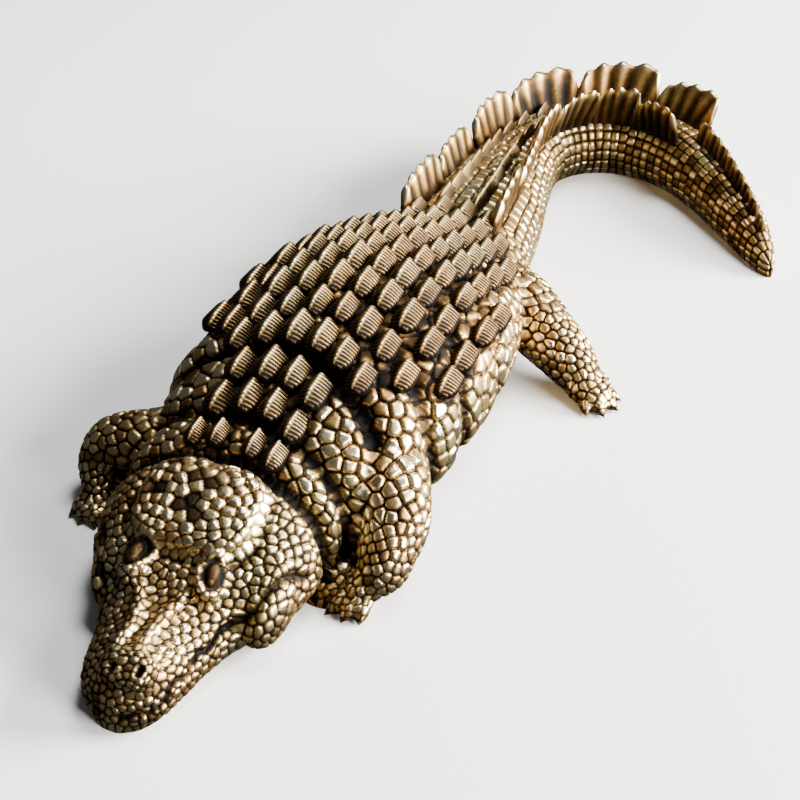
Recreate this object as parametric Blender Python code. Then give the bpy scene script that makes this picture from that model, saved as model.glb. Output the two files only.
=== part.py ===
# Crocodile figurine, one solid brass casting.
# It lies flat on its belly, head toward -Y, tail bent round to its left side (+X).
import math
import random

import bpy
import bmesh
from mathutils import Matrix, Vector

# Sizes in metres
SPINE_LENGTH = 0.1444
BODY_WIDTH = 0.0272
BODY_HEIGHT = 0.0170
SHIELD_LENGTH = 0.0037
SHIELD_PITCH = 0.0026
SHIELD_HEIGHT = 0.0012
CREST_HEIGHT = 0.0050
CREST_THICKNESS = 0.0014
TOE_LENGTH = 0.0024
TOE_RADIUS = 0.00075
CLAW_LENGTH = 0.0010
FOLD_DEPTH = 0.0007
FOLD_WIDTH = 0.00108
MOUTH_DEPTH = 0.0005
SINK = 0.0006
SKIN_CELL = 0.00045
SKIN_FACES = 3500
BODY_FACES = 6350

# Share of the spine that lies over the origin
ORIGIN_SHARE = 0.314

# Direction of the spine: share of its length, degrees from +Y toward +X
HEADINGS = [
    (-0.004, -2), (0.107, -3), (0.141, 0), (0.176, 9), (0.217, 10), (0.259, 4),
    (0.314, 1), (0.384, 1), (0.453, -2), (0.550, -4.5), (0.626, -1), (0.675, 12),
    (0.716, 38), (0.758, 72), (0.799, 104), (0.841, 127), (0.896, 141), (1.004, 148),
]

# Body outline: share of the spine, half width as a share of body width,
# top and widest level as shares of body height
PROFILE = [
    (0.000, 0.029, 0.165, 0.094),
    (0.004, 0.085, 0.229, 0.100),
    (0.012, 0.129, 0.282, 0.106),
    (0.024, 0.154, 0.318, 0.118),
    (0.041, 0.176, 0.324, 0.124),
    (0.062, 0.216, 0.353, 0.135),
    (0.082, 0.285, 0.435, 0.159),
    (0.100, 0.345, 0.524, 0.188),
    (0.117, 0.366, 0.588, 0.212),
    (0.134, 0.374, 0.624, 0.235),
    (0.155, 0.382, 0.659, 0.282),
    (0.183, 0.436, 0.753, 0.329),
    (0.217, 0.494, 0.876, 0.376),
    (0.259, 0.500, 0.965, 0.388),
    (0.307, 0.500, 1.000, 0.388),
    (0.356, 0.474, 0.915, 0.376),
    (0.398, 0.426, 0.800, 0.353),
    (0.446, 0.342, 0.670, 0.306),
    (0.494, 0.296, 0.625, 0.259),
    (0.550, 0.268, 0.580, 0.224),
    (0.619, 0.216, 0.529, 0.206),
    (0.688, 0.169, 0.482, 0.188),
    (0.758, 0.154, 0.470, 0.171),
    (0.827, 0.142, 0.465, 0.165),
    (0.896, 0.118, 0.400, 0.141),
    (0.952, 0.084, 0.300, 0.112),
    (0.993, 0.036, 0.150, 0.071),
    (1.000, 0.013, 0.088, 0.047),
]

# Skin folds of the neck and flank: share of the spine on the back and at the belly,
# depth as a share of the fold depth, and whether the fold crosses the back
FOLDS = [
    (0.147, 0.136, 1.2, True),
    (0.174, 0.164, 0.9, True),
    (0.220, 0.190, 1.3, True),
    (0.256, 0.229, 0.9, False),
    (0.318, 0.262, 0.9, False),
    (0.352, 0.318, 0.6, False),
]

# Legs: share of the spine, offset to the left as a share of body width,
# level as a share of body height, radius as a share of body width
LEGS = {
    "front left": [
        (0.222, 0.260, 0.412, 0.162),
        (0.206, 0.405, 0.412, 0.132),
        (0.183, 0.494, 0.288, 0.107),
        (0.158, 0.512, 0.190, 0.088),
        (0.142, 0.480, 0.100, 0.064),
    ],
    "front right": [
        (0.188, -0.232, 0.318, 0.147),
        (0.172, -0.403, 0.318, 0.114),
        (0.165, -0.539, 0.271, 0.092),
        (0.160, -0.568, 0.171, 0.075),
        (0.153, -0.535, 0.090, 0.058),
    ],
    "hind left": [
        (0.445, 0.178, 0.294, 0.154),
        (0.425, 0.360, 0.306, 0.132),
        (0.403, 0.512, 0.259, 0.118),
        (0.394, 0.628, 0.155, 0.098),
        (0.386, 0.698, 0.088, 0.070),
    ],
    "hind right": [
        (0.447, -0.189, 0.294, 0.154),
        (0.434, -0.360, 0.306, 0.132),
        (0.417, -0.479, 0.247, 0.103),
        (0.398, -0.566, 0.153, 0.075),
        (0.383, -0.617, 0.082, 0.062),
    ],
}

# Number of toes on a foot and the angle they spread over, in degrees
TOES = {"front": (5, 95), "hind": (4, 80)}
# Size of a palm, as a share of the radius of the last joint
PALMS = {"front": 1.00, "hind": 1.30}
TOE_CLEARANCE = 0.00003

# Points closer than this are one point, and slits narrower than this are drawn shut
HAIRLINE = 0.000002
SLIT = 0.00005

# Lumps of the head, and the low webs inside the forelegs: share of the spine, offset and
# level of the middle, half sizes across, along and up, then roundness; offsets and half
# widths are shares of body width, the rest shares of body height
LUMPS = [
    (0.016, 0.028, 0.275, 0.084, 0.090, 0.072, 0.6),
    (0.078, 0.120, 0.400, 0.046, 0.140, 0.075, 1.0),
    (0.078, -0.120, 0.400, 0.046, 0.140, 0.075, 1.0),
    (0.096, 0.262, 0.230, 0.084, 0.270, 0.175, 1.0),
    (0.096, -0.225, 0.230, 0.078, 0.270, 0.175, 1.0),
    (0.115, 0.000, 0.520, 0.192, 0.250, 0.110, 0.60),
    (0.156, 0.350, 0.020, 0.130, 0.240, 0.120, 1.0),
    (0.160, -0.440, 0.020, 0.110, 0.180, 0.120, 1.0),
]
SNOUT_RIDGE = [(0.024, 0.030), (0.045, 0.036), (0.066, 0.070)]
SNOUT_RIDGE_RADIUS = 0.0006

# Mouth line: shares of the spine where it starts and ends, and its turn below the
# widest line of the head
MOUTH = (0.002, 0.078, -0.050)

# Rows of keeled shields: share of the spine on the back, shields on each side
SHIELD_ROWS = [
    (0.186, 2), (0.207, 2),
    (0.236, 3), (0.262, 4), (0.288, 5), (0.314, 5), (0.340, 5), (0.366, 5),
    (0.392, 4), (0.417, 4), (0.442, 3), (0.467, 2),
]
# Outer shields stand further forward: how much, at which share of body width, and at most
ROW_BEND = (0.023, 0.35, 0.034)
NAPE_SHIELDS = [(0.159, 0.065), (0.157, 0.142)]
# Turn of the outer shields, rear ends away from the middle: degrees at a quarter of the
# body width
SHIELD_SPLAY = 20

# Tail keels behind the last rows of shields: shares of the spine at the first and the
# last, how many on each side, and their turn from the middle of the back
KEELS = (0.492, 0.700, 9, 0.032)

# Crest blades of the tail: share of the spine, length as a share of the spine,
# height as a share of the crest height
CREST = [
    (0.496, 0.076, 0.80), (0.572, 0.070, 0.72), (0.645, 0.066, 0.92),
    (0.708, 0.060, 1.00), (0.765, 0.056, 1.12), (0.818, 0.050, 1.00),
]
# Stance of the crest: turn from the middle of the back, extra turn of every second
# pair, and how far the blades rise straight up instead of outward
STANCE = (0.085, 0.006, 0.45)
# Leaf outline of a blade: place along it, height, and how far the top leans back
LEAF = [
    (-0.50, 0.36, 0.00), (-0.32, 0.84, 0.02), (0.00, 0.98, 0.09), (0.28, 1.00, 0.26),
    (0.48, 0.44, 0.11),
]
# Single row behind the crest: shares of the spine at the first and the last, how many
TEETH = (0.862, 0.968, 8)

RNG = random.Random(11)


# Smooth curve through one column of a table, without overshoot
def along_table(rows, column, at):
    keys = [row[0] for row in rows]
    values = [row[column] for row in rows]
    last = len(keys) - 1
    slopes = []
    for index in range(last):
        slopes.append((values[index + 1] - values[index]) / (keys[index + 1] - keys[index]))
    tangents = [slopes[0]]
    for index in range(1, last):
        before = slopes[index - 1]
        after = slopes[index]
        if before * after <= 0:
            tangents.append(0.0)
        else:
            tangents.append(2 * before * after / (before + after))
    tangents.append(slopes[-1])
    index = 0
    while index < last - 1 and at > keys[index + 1]:
        index += 1
    span = keys[index + 1] - keys[index]
    part = min(max((at - keys[index]) / span, 0.0), 1.0)
    rest = 1 - part
    value = values[index] * (1 + 2 * part) * rest * rest
    value += values[index + 1] * part * part * (3 - 2 * part)
    value += span * part * rest * (tangents[index] * rest - tangents[index + 1] * part)
    return value


# Spine in plan, walked once in small steps
def walk_spine(steps):
    points = [(0.0, 0.0)]
    angles = [math.radians(along_table(HEADINGS, 1, 0.0))]
    for index in range(1, steps + 1):
        angle = math.radians(along_table(HEADINGS, 1, index / steps))
        middle = (angle + angles[-1]) / 2
        step = SPINE_LENGTH / steps
        x, y = points[-1]
        points.append((x + math.sin(middle) * step, y + math.cos(middle) * step))
        angles.append(angle)
    origin = points[round(ORIGIN_SHARE * steps)]
    points = [(x - origin[0], y - origin[1]) for x, y in points]
    return points, angles


SPINE_STEPS = 500
SPINE_POINTS, SPINE_ANGLES = walk_spine(SPINE_STEPS)


# Point beside the spine and the two level directions there
def beside(share, offset, level):
    place = min(max(share, 0.0), 1.0) * SPINE_STEPS
    index = min(int(place), SPINE_STEPS - 1)
    part = place - index
    first = Vector(SPINE_POINTS[index])
    second = Vector(SPINE_POINTS[index + 1])
    angle = SPINE_ANGLES[index] * (1 - part) + SPINE_ANGLES[index + 1] * part
    flat = first.lerp(second, part)
    left = Vector((math.cos(angle), -math.sin(angle), 0.0))
    back = Vector((math.sin(angle), math.cos(angle), 0.0))
    return Vector((flat.x, flat.y, level)) + left * offset, left, back


def signed_power(value, power):
    return math.copysign(abs(value) ** power, value)


# How deep the folds and the mouth line cut at one place of the skin
def groove_depth(share, turn):
    angle = turn * 2 * math.pi
    rise = max(math.sin(angle), 0.0)
    flank = abs(math.cos(angle))
    depth = 0.0
    for top, belly, strength, across in FOLDS:
        middle = belly + (top - belly) * math.sin(angle * 0.5 if rise == 0 else angle) ** 2
        if rise == 0:
            middle = belly
        gap = (share - middle) * SPINE_LENGTH / FOLD_WIDTH
        weight = 1.0 if across else min(flank * 1.5, 1.0)
        depth += FOLD_DEPTH * strength * weight * math.exp(-gap * gap)
    return depth


# Skin of head, trunk and tail; turn 0 is its left side and 0.25 the middle of the back
def skin(share, turn):
    angle = turn * 2 * math.pi
    half = along_table(PROFILE, 1, share) * BODY_WIDTH
    top = along_table(PROFILE, 2, share) * BODY_HEIGHT
    middle = along_table(PROFILE, 3, share) * BODY_HEIGHT
    across = signed_power(math.cos(angle), 0.88)
    upward = signed_power(math.sin(angle), 0.92)
    depth = groove_depth(share, turn)
    half -= depth
    if upward > 0:
        level = middle + (top - depth - middle) * upward
    else:
        level = middle + (middle + SINK) * upward
    point, left, back = beside(share, half * across, level)
    return point


# Place on the skin with its outward and backward directions
def skin_frame(share, turn):
    point = skin(share, turn)
    back = (skin(share + 0.004, turn) - skin(share - 0.004, turn)).normalized()
    round_body = (skin(share, turn + 0.01) - skin(share, turn - 0.01)).normalized()
    outward = back.cross(round_body).normalized()
    if outward.dot(point - beside(share, 0.0, BODY_HEIGHT * 0.2)[0]) < 0:
        outward = -outward
    side = outward.cross(back).normalized()
    return point, side, back, outward


# Turn at which the skin lies a given distance from the middle line
def turn_for(share, offset):
    half = along_table(PROFILE, 1, share) * BODY_WIDTH
    across = min(abs(offset) / half, 0.98) ** (1 / 0.88)
    turn = math.acos(across) / (2 * math.pi)
    return turn if offset > 0 else 0.5 - turn


# Closed body through a list of rings, both ends capped
def add_rings(body, rings):
    made = []
    for ring in rings:
        made.append([body.verts.new(point) for point in ring])
    for first, second in zip(made, made[1:]):
        count = len(first)
        for index in range(count):
            after = (index + 1) % count
            body.faces.new((first[index], first[after], second[after], second[index]))
    body.faces.new(list(reversed(made[0])))
    body.faces.new(made[-1])


# Tube along smooth joints, each joint a point and a radius
def add_tube(body, joints, steps, sides):
    rows = []
    for index, (point, radius) in enumerate(joints):
        rows.append((index, point.x, point.y, point.z, radius))
    count = (len(joints) - 1) * steps
    centres = []
    for step in range(count + 1):
        at = step / steps
        centres.append([along_table(rows, column, at) for column in (1, 2, 3, 4)])
    rings = []
    for step, (x, y, z, radius) in enumerate(centres):
        before = Vector(centres[max(step - 1, 0)][:3])
        after = Vector(centres[min(step + 1, count)][:3])
        forward = (after - before).normalized()
        side = forward.cross(Vector((0, 0, 1))).normalized()
        upward = side.cross(forward)
        ring = []
        for corner in range(sides):
            angle = corner / sides * 2 * math.pi
            spoke = side * math.cos(angle) + upward * math.sin(angle)
            ring.append(Vector((x, y, z)) + spoke * radius)
        rings.append(ring)
    add_rings(body, rings)


# Rounded lump with half sizes along three directions; a low roundness squares it
def add_lump(body, centre, side, back, upward, roundness):
    rings = []
    for row in range(1, 12):
        tilt = row / 12 * math.pi
        wide = math.sin(tilt) ** roundness
        level = -signed_power(math.cos(tilt), roundness)
        ring = []
        for corner in range(24):
            angle = corner / 24 * 2 * math.pi
            along = signed_power(math.sin(angle), roundness)
            across = signed_power(math.cos(angle), roundness)
            ring.append(centre + upward * level + (side * across + back * along) * wide)
        rings.append(ring)
    add_rings(body, rings)


# Points and radii down one leg
def leg_joints(rows):
    joints = []
    for share, offset, level, radius in rows:
        point = beside(share, offset * BODY_WIDTH, level * BODY_HEIGHT)[0]
        joints.append((point, radius * BODY_WIDTH))
    return joints


# Middle of a foot, its radius and the level way it points
def foot_place(joints):
    foot, radius = joints[-1]
    heading = foot - joints[-2][0]
    heading.z = 0.0
    return foot, radius, heading.normalized()


# Toes with claws, spread like a fan from the foot
def build_toes():
    made = []
    for name, rows in LEGS.items():
        foot, foot_radius, heading = foot_place(leg_joints(rows))
        toes, spread = TOES[name.split()[0]]
        for index in range(toes):
            swing = (index / (toes - 1) - 0.5) * math.radians(spread)
            direction = Matrix.Rotation(swing, 3, "Z") @ heading
            reach = foot_radius * 0.5 + TOE_LENGTH * (1.0 - 0.35 * abs(swing))
            body = bmesh.new()
            stations = [(foot_radius * 0.3, 1.5, 1.00), (reach * 0.62, 1.35, 1.12),
                        (reach, 0.95, 0.92), (reach + CLAW_LENGTH, 0.35, 0.30)]
            side = Vector((-direction.y, direction.x, 0.0))
            rings = []
            for along, level, wide in stations:
                height = TOE_RADIUS * (level + 0.06 * index)
                centre = Vector((foot.x, foot.y, height)) + direction * along
                ring = []
                for corner in range(5):
                    angle = (corner + 0.25) / 5 * 2 * math.pi
                    point = centre + side * TOE_RADIUS * wide * math.cos(angle)
                    point.z += TOE_RADIUS * wide * math.sin(angle)
                    point.z = max(point.z, TOE_CLEARANCE * (index + 1))
                    ring.append(point)
                rings.append(ring)
            add_rings(body, rings)
            made.append(body)
    return made


# Head, trunk, tail, lumps and legs as overlapping closed bodies
def build_flesh():
    body = bmesh.new()
    rings = []
    count = 200
    for step in range(count + 1):
        share = step / count
        rings.append([skin(share, corner / 40) for corner in range(40)])
    add_rings(body, rings)
    for share, offset, level, across, length, height, roundness in LUMPS:
        centre, left, back = beside(share, offset * BODY_WIDTH, level * BODY_HEIGHT)
        rise = (skin(share + 0.02, 0.25) - skin(share - 0.016, 0.25)).normalized()
        upward = rise.cross(left).normalized()
        if upward.z < 0:
            upward = -upward
        add_lump(body, centre, left * across * BODY_WIDTH, rise * length * BODY_HEIGHT,
                 upward * height * BODY_HEIGHT, roundness)
    for sign in (-1, 1):
        joints = []
        for share, offset in SNOUT_RIDGE:
            joints.append((skin(share, turn_for(share, offset * BODY_WIDTH * sign)), SNOUT_RIDGE_RADIUS))
        add_tube(body, joints, 3, 8)
    for name, rows in LEGS.items():
        joints = leg_joints(rows)
        add_tube(body, joints, 6, 16)
        foot, radius, heading = foot_place(joints)
        side = Vector((-heading.y, heading.x, 0.0))
        palm = radius * PALMS[name.split()[0]]
        add_lump(body, foot + heading * radius * 0.15, side * palm, heading * palm,
                 Vector((0, 0, 1)) * radius * 0.85, 1.0)
    return body


def mesh_object(name, body):
    bmesh.ops.recalc_face_normals(body, faces=body.faces)
    bmesh.ops.triangulate(body, faces=body.faces)
    mesh = bpy.data.meshes.new(name)
    body.to_mesh(mesh)
    body.free()
    made = bpy.data.objects.new(name, mesh)
    bpy.context.scene.collection.objects.link(made)
    return made


# Replace an object's mesh by the result of its modifiers
def settle(made):
    depsgraph = bpy.context.evaluated_depsgraph_get()
    depsgraph.update()
    mesh = bpy.data.meshes.new_from_object(made.evaluated_get(depsgraph))
    made.modifiers.clear()
    made.data = mesh


# Keeled shield: gable section, low and narrow in front, high behind
def add_shield(body, point, side, back, outward, length, width, height):
    sections = [(-0.50, 0.60, 0.30), (-0.20, 1.00, 0.85), (0.50, 0.90, 1.10)]
    rings = []
    for along, wide, high in sections:
        centre = point + back * length * along
        edge = side * width * 0.5 * wide
        ring = [centre - edge - outward * height * 0.55,
                centre - edge * 0.80 + outward * height * 0.55 * high,
                centre + outward * height * high,
                centre + edge * 0.80 + outward * height * 0.55 * high,
                centre + edge - outward * height * 0.55]
        rings.append(ring)
    add_rings(body, rings)


# Crest blade: a leaf that follows the tail and leans back, thick at its root
def add_blade(body, share, turn, length, height, thickness, upright):
    rings = []
    for along, high, lean in LEAF:
        place = min(share + along * length / SPINE_LENGTH, 0.995)
        root, side, back, outward = skin_frame(place, turn)
        upward = (outward * (1 - upright) + Vector((0, 0, 1)) * upright).normalized()
        foot = root - upward * height * 0.22
        top = root + upward * height * high + back * height * lean
        thin = 1.0 - 0.6 * high
        rings.append([foot - side * thickness * 0.5, foot + side * thickness * 0.5,
                      top + side * thickness * 0.5 * thin, top - side * thickness * 0.5 * thin])
    add_rings(body, rings)


def build_shields():
    bodies = []
    forward, reach, most = ROW_BEND
    for share, count in SHIELD_ROWS:
        for index in range(count):
            for sign in (-1, 1):
                offset = (index + 0.5) * SHIELD_PITCH * sign
                bend = forward * (abs(offset) / (reach * BODY_WIDTH)) ** 1.5
                place = share - min(bend, most)
                bodies.append((place, offset, SHIELD_LENGTH, 0.98, 1.0 - 0.04 * index))
    for share, side_share in NAPE_SHIELDS:
        for sign in (-1, 1):
            bodies.append((share, side_share * BODY_WIDTH * sign, SHIELD_LENGTH * 0.75, 0.75, 0.85))
    made = []
    for place, offset, length, wide, high in bodies:
        point, side, back, outward = skin_frame(place, turn_for(place, offset))
        splay = math.radians(SHIELD_SPLAY) * offset / (0.25 * BODY_WIDTH)
        swing = Matrix.Rotation(RNG.uniform(-0.06, 0.06) - splay, 3, outward)
        size = RNG.uniform(0.95, 1.05)
        body = bmesh.new()
        add_shield(body, point, swing @ side, swing @ back, outward, length * size,
                   SHIELD_PITCH * wide, SHIELD_HEIGHT * high * size)
        made.append(body)
    first, last, count, apart = KEELS
    for index in range(count):
        part = index / (count - 1)
        share = first + (last - first) * part
        for sign in (-1, 1):
            point, side, back, outward = skin_frame(share, 0.25 - sign * apart)
            body = bmesh.new()
            shrink = 1.0 - 0.35 * part
            add_shield(body, point, side, back, outward, SHIELD_LENGTH * 0.95,
                       SHIELD_PITCH * 0.60 * shrink, SHIELD_HEIGHT * shrink)
            made.append(body)
    return made


def build_crest():
    made = []
    turn, extra, upright = STANCE
    for index, (share, length, height) in enumerate(CREST):
        for sign in (-1, 1):
            body = bmesh.new()
            place = 0.25 - sign * (turn + extra * (index % 2))
            add_blade(body, share, place, length * SPINE_LENGTH, CREST_HEIGHT * height,
                      CREST_THICKNESS, upright)
            made.append(body)
    first, last, count = TEETH
    for index in range(count):
        part = index / (count - 1)
        share = first + (last - first) * part
        body = bmesh.new()
        add_blade(body, share, 0.25, CREST_HEIGHT * (0.46 - 0.12 * part),
                  CREST_HEIGHT * (0.54 - 0.24 * part), CREST_THICKNESS * (0.9 - 0.3 * part), 1.0)
        made.append(body)
    return made


# Thin rods along both lips, cut away as the mouth line
def build_mouth():
    first, last, below = MOUTH
    body = bmesh.new()
    for sign in (-1, 1):
        joints = []
        for step in range(9):
            share = first + (last - first) * step / 8
            turn = -below if sign > 0 else 0.5 + below
            joints.append((skin(share, turn), MOUTH_DEPTH))
        add_tube(body, joints, 2, 6)
    return mesh_object("mouth cutter", body)


def remove_all():
    for old in list(bpy.data.objects):
        bpy.data.objects.remove(old, do_unlink=True)


def brass():
    material = bpy.data.materials.new("antique_brass")
    material.use_nodes = True
    shader = material.node_tree.nodes["Principled BSDF"]
    shader.inputs["Base Color"].default_value = (0.46, 0.33, 0.14, 1.0)
    shader.inputs["Metallic"].default_value = 1.0
    shader.inputs["Roughness"].default_value = 0.38
    return material


# Boolean union of the figure with a list of carved bodies, left as triangles
def join_all(figure, bodies):
    relief = bpy.data.collections.new("relief")
    bpy.context.scene.collection.children.link(relief)
    for index, body in enumerate(bodies):
        piece = mesh_object("relief.%03d" % index, body)
        bpy.context.scene.collection.objects.unlink(piece)
        relief.objects.link(piece)
    join = figure.modifiers.new("carved relief", "BOOLEAN")
    join.operation = "UNION"
    join.solver = "EXACT"
    join.operand_type = "COLLECTION"
    join.collection = relief
    settle(figure)
    for piece in list(relief.objects):
        bpy.data.objects.remove(piece, do_unlink=True)
    bpy.data.collections.remove(relief)
    triangles = bmesh.new()
    triangles.from_mesh(figure.data)
    bmesh.ops.triangulate(triangles, faces=triangles.faces)
    triangles.to_mesh(figure.data)
    triangles.free()


def open_edges(face):
    return [edge for edge in face.edges if len(edge.link_faces) == 1]


# Merge points that all but meet, and draw shut the hairline slits left where faces of
# two bodies nearly touch
def close_hairlines(figure):
    body = bmesh.new()
    body.from_mesh(figure.data)
    bmesh.ops.remove_doubles(body, verts=body.verts, dist=HAIRLINE)
    bmesh.ops.dissolve_degenerate(body, edges=body.edges, dist=HAIRLINE / 2)
    bmesh.ops.triangulate(body, faces=body.faces)
    for _ in range(4):
        flaps = []
        for edge in body.edges:
            if len(edge.link_faces) > 2:
                flaps += [face for face in edge.link_faces if open_edges(face)]
        bmesh.ops.delete(body, geom=list(set(flaps)), context="FACES")
        slits = [edge for edge in body.edges if len(edge.link_faces) != 2]
        if not slits:
            break
        corners = list({corner for edge in slits for corner in edge.verts})
        bmesh.ops.remove_doubles(body, verts=corners, dist=SLIT)
        bmesh.ops.dissolve_degenerate(body, edges=body.edges, dist=HAIRLINE / 2)
        bmesh.ops.triangulate(body, faces=body.faces)
    body.to_mesh(figure.data)
    body.free()


def main():
    remove_all()
    figure = mesh_object("crocodile", build_flesh())
    remesh = figure.modifiers.new("even skin", "REMESH")
    remesh.mode = "VOXEL"
    remesh.voxel_size = SKIN_CELL
    smooth = figure.modifiers.new("soft skin", "SMOOTH")
    smooth.factor = 0.5
    smooth.iterations = 2
    settle(figure)
    thin = figure.modifiers.new("fewer faces", "DECIMATE")
    thin.ratio = SKIN_FACES / (2 * len(figure.data.polygons))
    settle(figure)
    join_all(figure, build_shields())
    trim = figure.modifiers.new("final faces", "DECIMATE")
    trim.ratio = BODY_FACES / len(figure.data.polygons)
    settle(figure)
    ground = bmesh.new()
    corners = bmesh.ops.create_cube(ground, size=1.0)["verts"]
    bmesh.ops.scale(ground, vec=(SPINE_LENGTH * 2, SPINE_LENGTH * 2, BODY_HEIGHT), verts=corners)
    bmesh.ops.translate(ground, vec=(0, 0, -BODY_HEIGHT / 2), verts=corners)
    cutter = mesh_object("ground cutter", ground)
    level = figure.modifiers.new("flat underside", "BOOLEAN")
    level.operation = "DIFFERENCE"
    level.solver = "EXACT"
    level.object = cutter
    mouth = build_mouth()
    lips = figure.modifiers.new("mouth line", "BOOLEAN")
    lips.operation = "DIFFERENCE"
    lips.solver = "EXACT"
    lips.object = mouth
    settle(figure)
    bpy.data.objects.remove(cutter, do_unlink=True)
    bpy.data.objects.remove(mouth, do_unlink=True)
    join_all(figure, build_crest() + build_toes())
    close_hairlines(figure)
    figure.data.materials.clear()
    figure.data.materials.append(brass())
    figure.data.name = "crocodile"


main()
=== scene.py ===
# Crocodile figurine in antique brass: carved skin, shields, crest and the photographed view
import math
import random

import bmesh
import bpy
import numpy as np
from mathutils import Matrix, Vector
from mathutils.kdtree import KDTree


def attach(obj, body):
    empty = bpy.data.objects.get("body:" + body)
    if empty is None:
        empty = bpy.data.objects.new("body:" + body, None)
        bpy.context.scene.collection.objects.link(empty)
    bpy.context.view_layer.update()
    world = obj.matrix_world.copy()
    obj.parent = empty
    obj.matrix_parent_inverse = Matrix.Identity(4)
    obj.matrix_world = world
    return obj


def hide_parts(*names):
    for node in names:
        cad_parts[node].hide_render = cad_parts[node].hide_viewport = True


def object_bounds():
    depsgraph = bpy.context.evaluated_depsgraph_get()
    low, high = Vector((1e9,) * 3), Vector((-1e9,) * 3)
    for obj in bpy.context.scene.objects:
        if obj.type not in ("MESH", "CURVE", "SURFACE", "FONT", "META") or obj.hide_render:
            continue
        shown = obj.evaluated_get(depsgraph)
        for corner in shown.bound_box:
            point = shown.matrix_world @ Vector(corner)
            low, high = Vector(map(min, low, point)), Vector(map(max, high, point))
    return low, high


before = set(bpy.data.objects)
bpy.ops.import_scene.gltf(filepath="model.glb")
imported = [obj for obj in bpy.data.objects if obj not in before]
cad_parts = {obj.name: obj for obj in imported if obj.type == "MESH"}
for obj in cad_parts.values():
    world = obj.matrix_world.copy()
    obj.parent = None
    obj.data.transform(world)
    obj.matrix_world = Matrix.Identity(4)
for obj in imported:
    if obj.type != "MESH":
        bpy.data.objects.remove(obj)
size_at_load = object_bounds()

# Sizes in metres, the same as the solid's
SPINE_LENGTH = 0.1444
BODY_WIDTH = 0.0272
BODY_HEIGHT = 0.0170
SINK = 0.0006
FOLD_DEPTH = 0.0007
FOLD_WIDTH = 0.00108
SNOUT_RIDGE_RADIUS = 0.0006
SHIELD_LENGTH = 0.0037
SHIELD_PITCH = 0.0026
SHIELD_HEIGHT = 0.0012
CREST_HEIGHT = 0.0050
CREST_THICKNESS = 0.0014
TOE_LENGTH = 0.0024
TOE_RADIUS = 0.00075
CLAW_LENGTH = 0.0010
MM = 0.001

# Share of the spine that lies over the origin
ORIGIN_SHARE = 0.314

# Cell of the melted skin in metres, and the shares of the spine between which each piece lies
SKIN_CELL = 0.00017
PIECE_CUTS = [("head_and_neck", -1.0, 0.150), ("trunk_front", 0.150, 0.262),
              ("trunk_middle", 0.262, 0.350), ("hips", 0.350, 0.470),
              ("tail_root", 0.470, 0.640), ("tail_end", 0.640, 2.0)]

# Direction of the spine: share of its length, degrees from +Y toward +X
HEADINGS = [
    (-0.004, -2), (0.107, -3), (0.141, 0), (0.176, 9), (0.217, 10), (0.259, 4),
    (0.314, 1), (0.384, 1), (0.453, -2), (0.550, -4.5), (0.626, -1), (0.675, 12),
    (0.716, 38), (0.758, 72), (0.799, 104), (0.841, 127), (0.896, 141), (1.004, 148),
]

# Body outline: share of the spine, half width as a share of body width,
# top and widest level as shares of body height
PROFILE = [
    (0.000, 0.029, 0.165, 0.094),
    (0.004, 0.085, 0.229, 0.100),
    (0.012, 0.129, 0.282, 0.106),
    (0.024, 0.154, 0.318, 0.118),
    (0.041, 0.176, 0.324, 0.124),
    (0.062, 0.216, 0.353, 0.135),
    (0.082, 0.285, 0.435, 0.159),
    (0.100, 0.345, 0.524, 0.188),
    (0.117, 0.366, 0.588, 0.212),
    (0.134, 0.374, 0.624, 0.235),
    (0.155, 0.382, 0.659, 0.282),
    (0.183, 0.436, 0.753, 0.329),
    (0.217, 0.494, 0.876, 0.376),
    (0.259, 0.500, 0.965, 0.388),
    (0.307, 0.500, 1.000, 0.388),
    (0.356, 0.474, 0.915, 0.376),
    (0.398, 0.426, 0.800, 0.353),
    (0.446, 0.342, 0.670, 0.306),
    (0.494, 0.296, 0.625, 0.259),
    (0.550, 0.268, 0.580, 0.224),
    (0.619, 0.216, 0.529, 0.206),
    (0.688, 0.169, 0.482, 0.188),
    (0.758, 0.154, 0.470, 0.171),
    (0.827, 0.142, 0.465, 0.165),
    (0.896, 0.118, 0.400, 0.141),
    (0.952, 0.084, 0.300, 0.112),
    (0.993, 0.036, 0.150, 0.071),
    (1.000, 0.013, 0.088, 0.047),
]

# Skin folds of the neck and flank: share of the spine on the back and at the belly,
# depth as a share of the fold depth, and whether the fold crosses the back
FOLDS = [
    (0.147, 0.136, 1.2, True),
    (0.174, 0.164, 0.9, True),
    (0.220, 0.190, 1.3, True),
    (0.256, 0.229, 0.9, False),
    (0.318, 0.262, 0.9, False),
    (0.352, 0.318, 0.6, False),
]

# Legs: share of the spine, offset to the left as a share of body width,
# level as a share of body height, radius as a share of body width
LEGS = {
    "front left": [
        (0.222, 0.260, 0.412, 0.162),
        (0.206, 0.405, 0.412, 0.132),
        (0.183, 0.494, 0.288, 0.107),
        (0.158, 0.512, 0.190, 0.088),
        (0.142, 0.480, 0.100, 0.064),
    ],
    "front right": [
        (0.188, -0.232, 0.318, 0.147),
        (0.172, -0.403, 0.318, 0.114),
        (0.165, -0.539, 0.271, 0.092),
        (0.160, -0.568, 0.171, 0.075),
        (0.153, -0.535, 0.090, 0.058),
    ],
    "hind left": [
        (0.445, 0.178, 0.294, 0.154),
        (0.425, 0.360, 0.306, 0.132),
        (0.403, 0.512, 0.259, 0.118),
        (0.394, 0.628, 0.155, 0.098),
        (0.386, 0.698, 0.088, 0.070),
    ],
    "hind right": [
        (0.447, -0.189, 0.294, 0.154),
        (0.434, -0.360, 0.306, 0.132),
        (0.417, -0.479, 0.247, 0.103),
        (0.398, -0.566, 0.153, 0.075),
        (0.383, -0.617, 0.082, 0.062),
    ],
}

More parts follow.
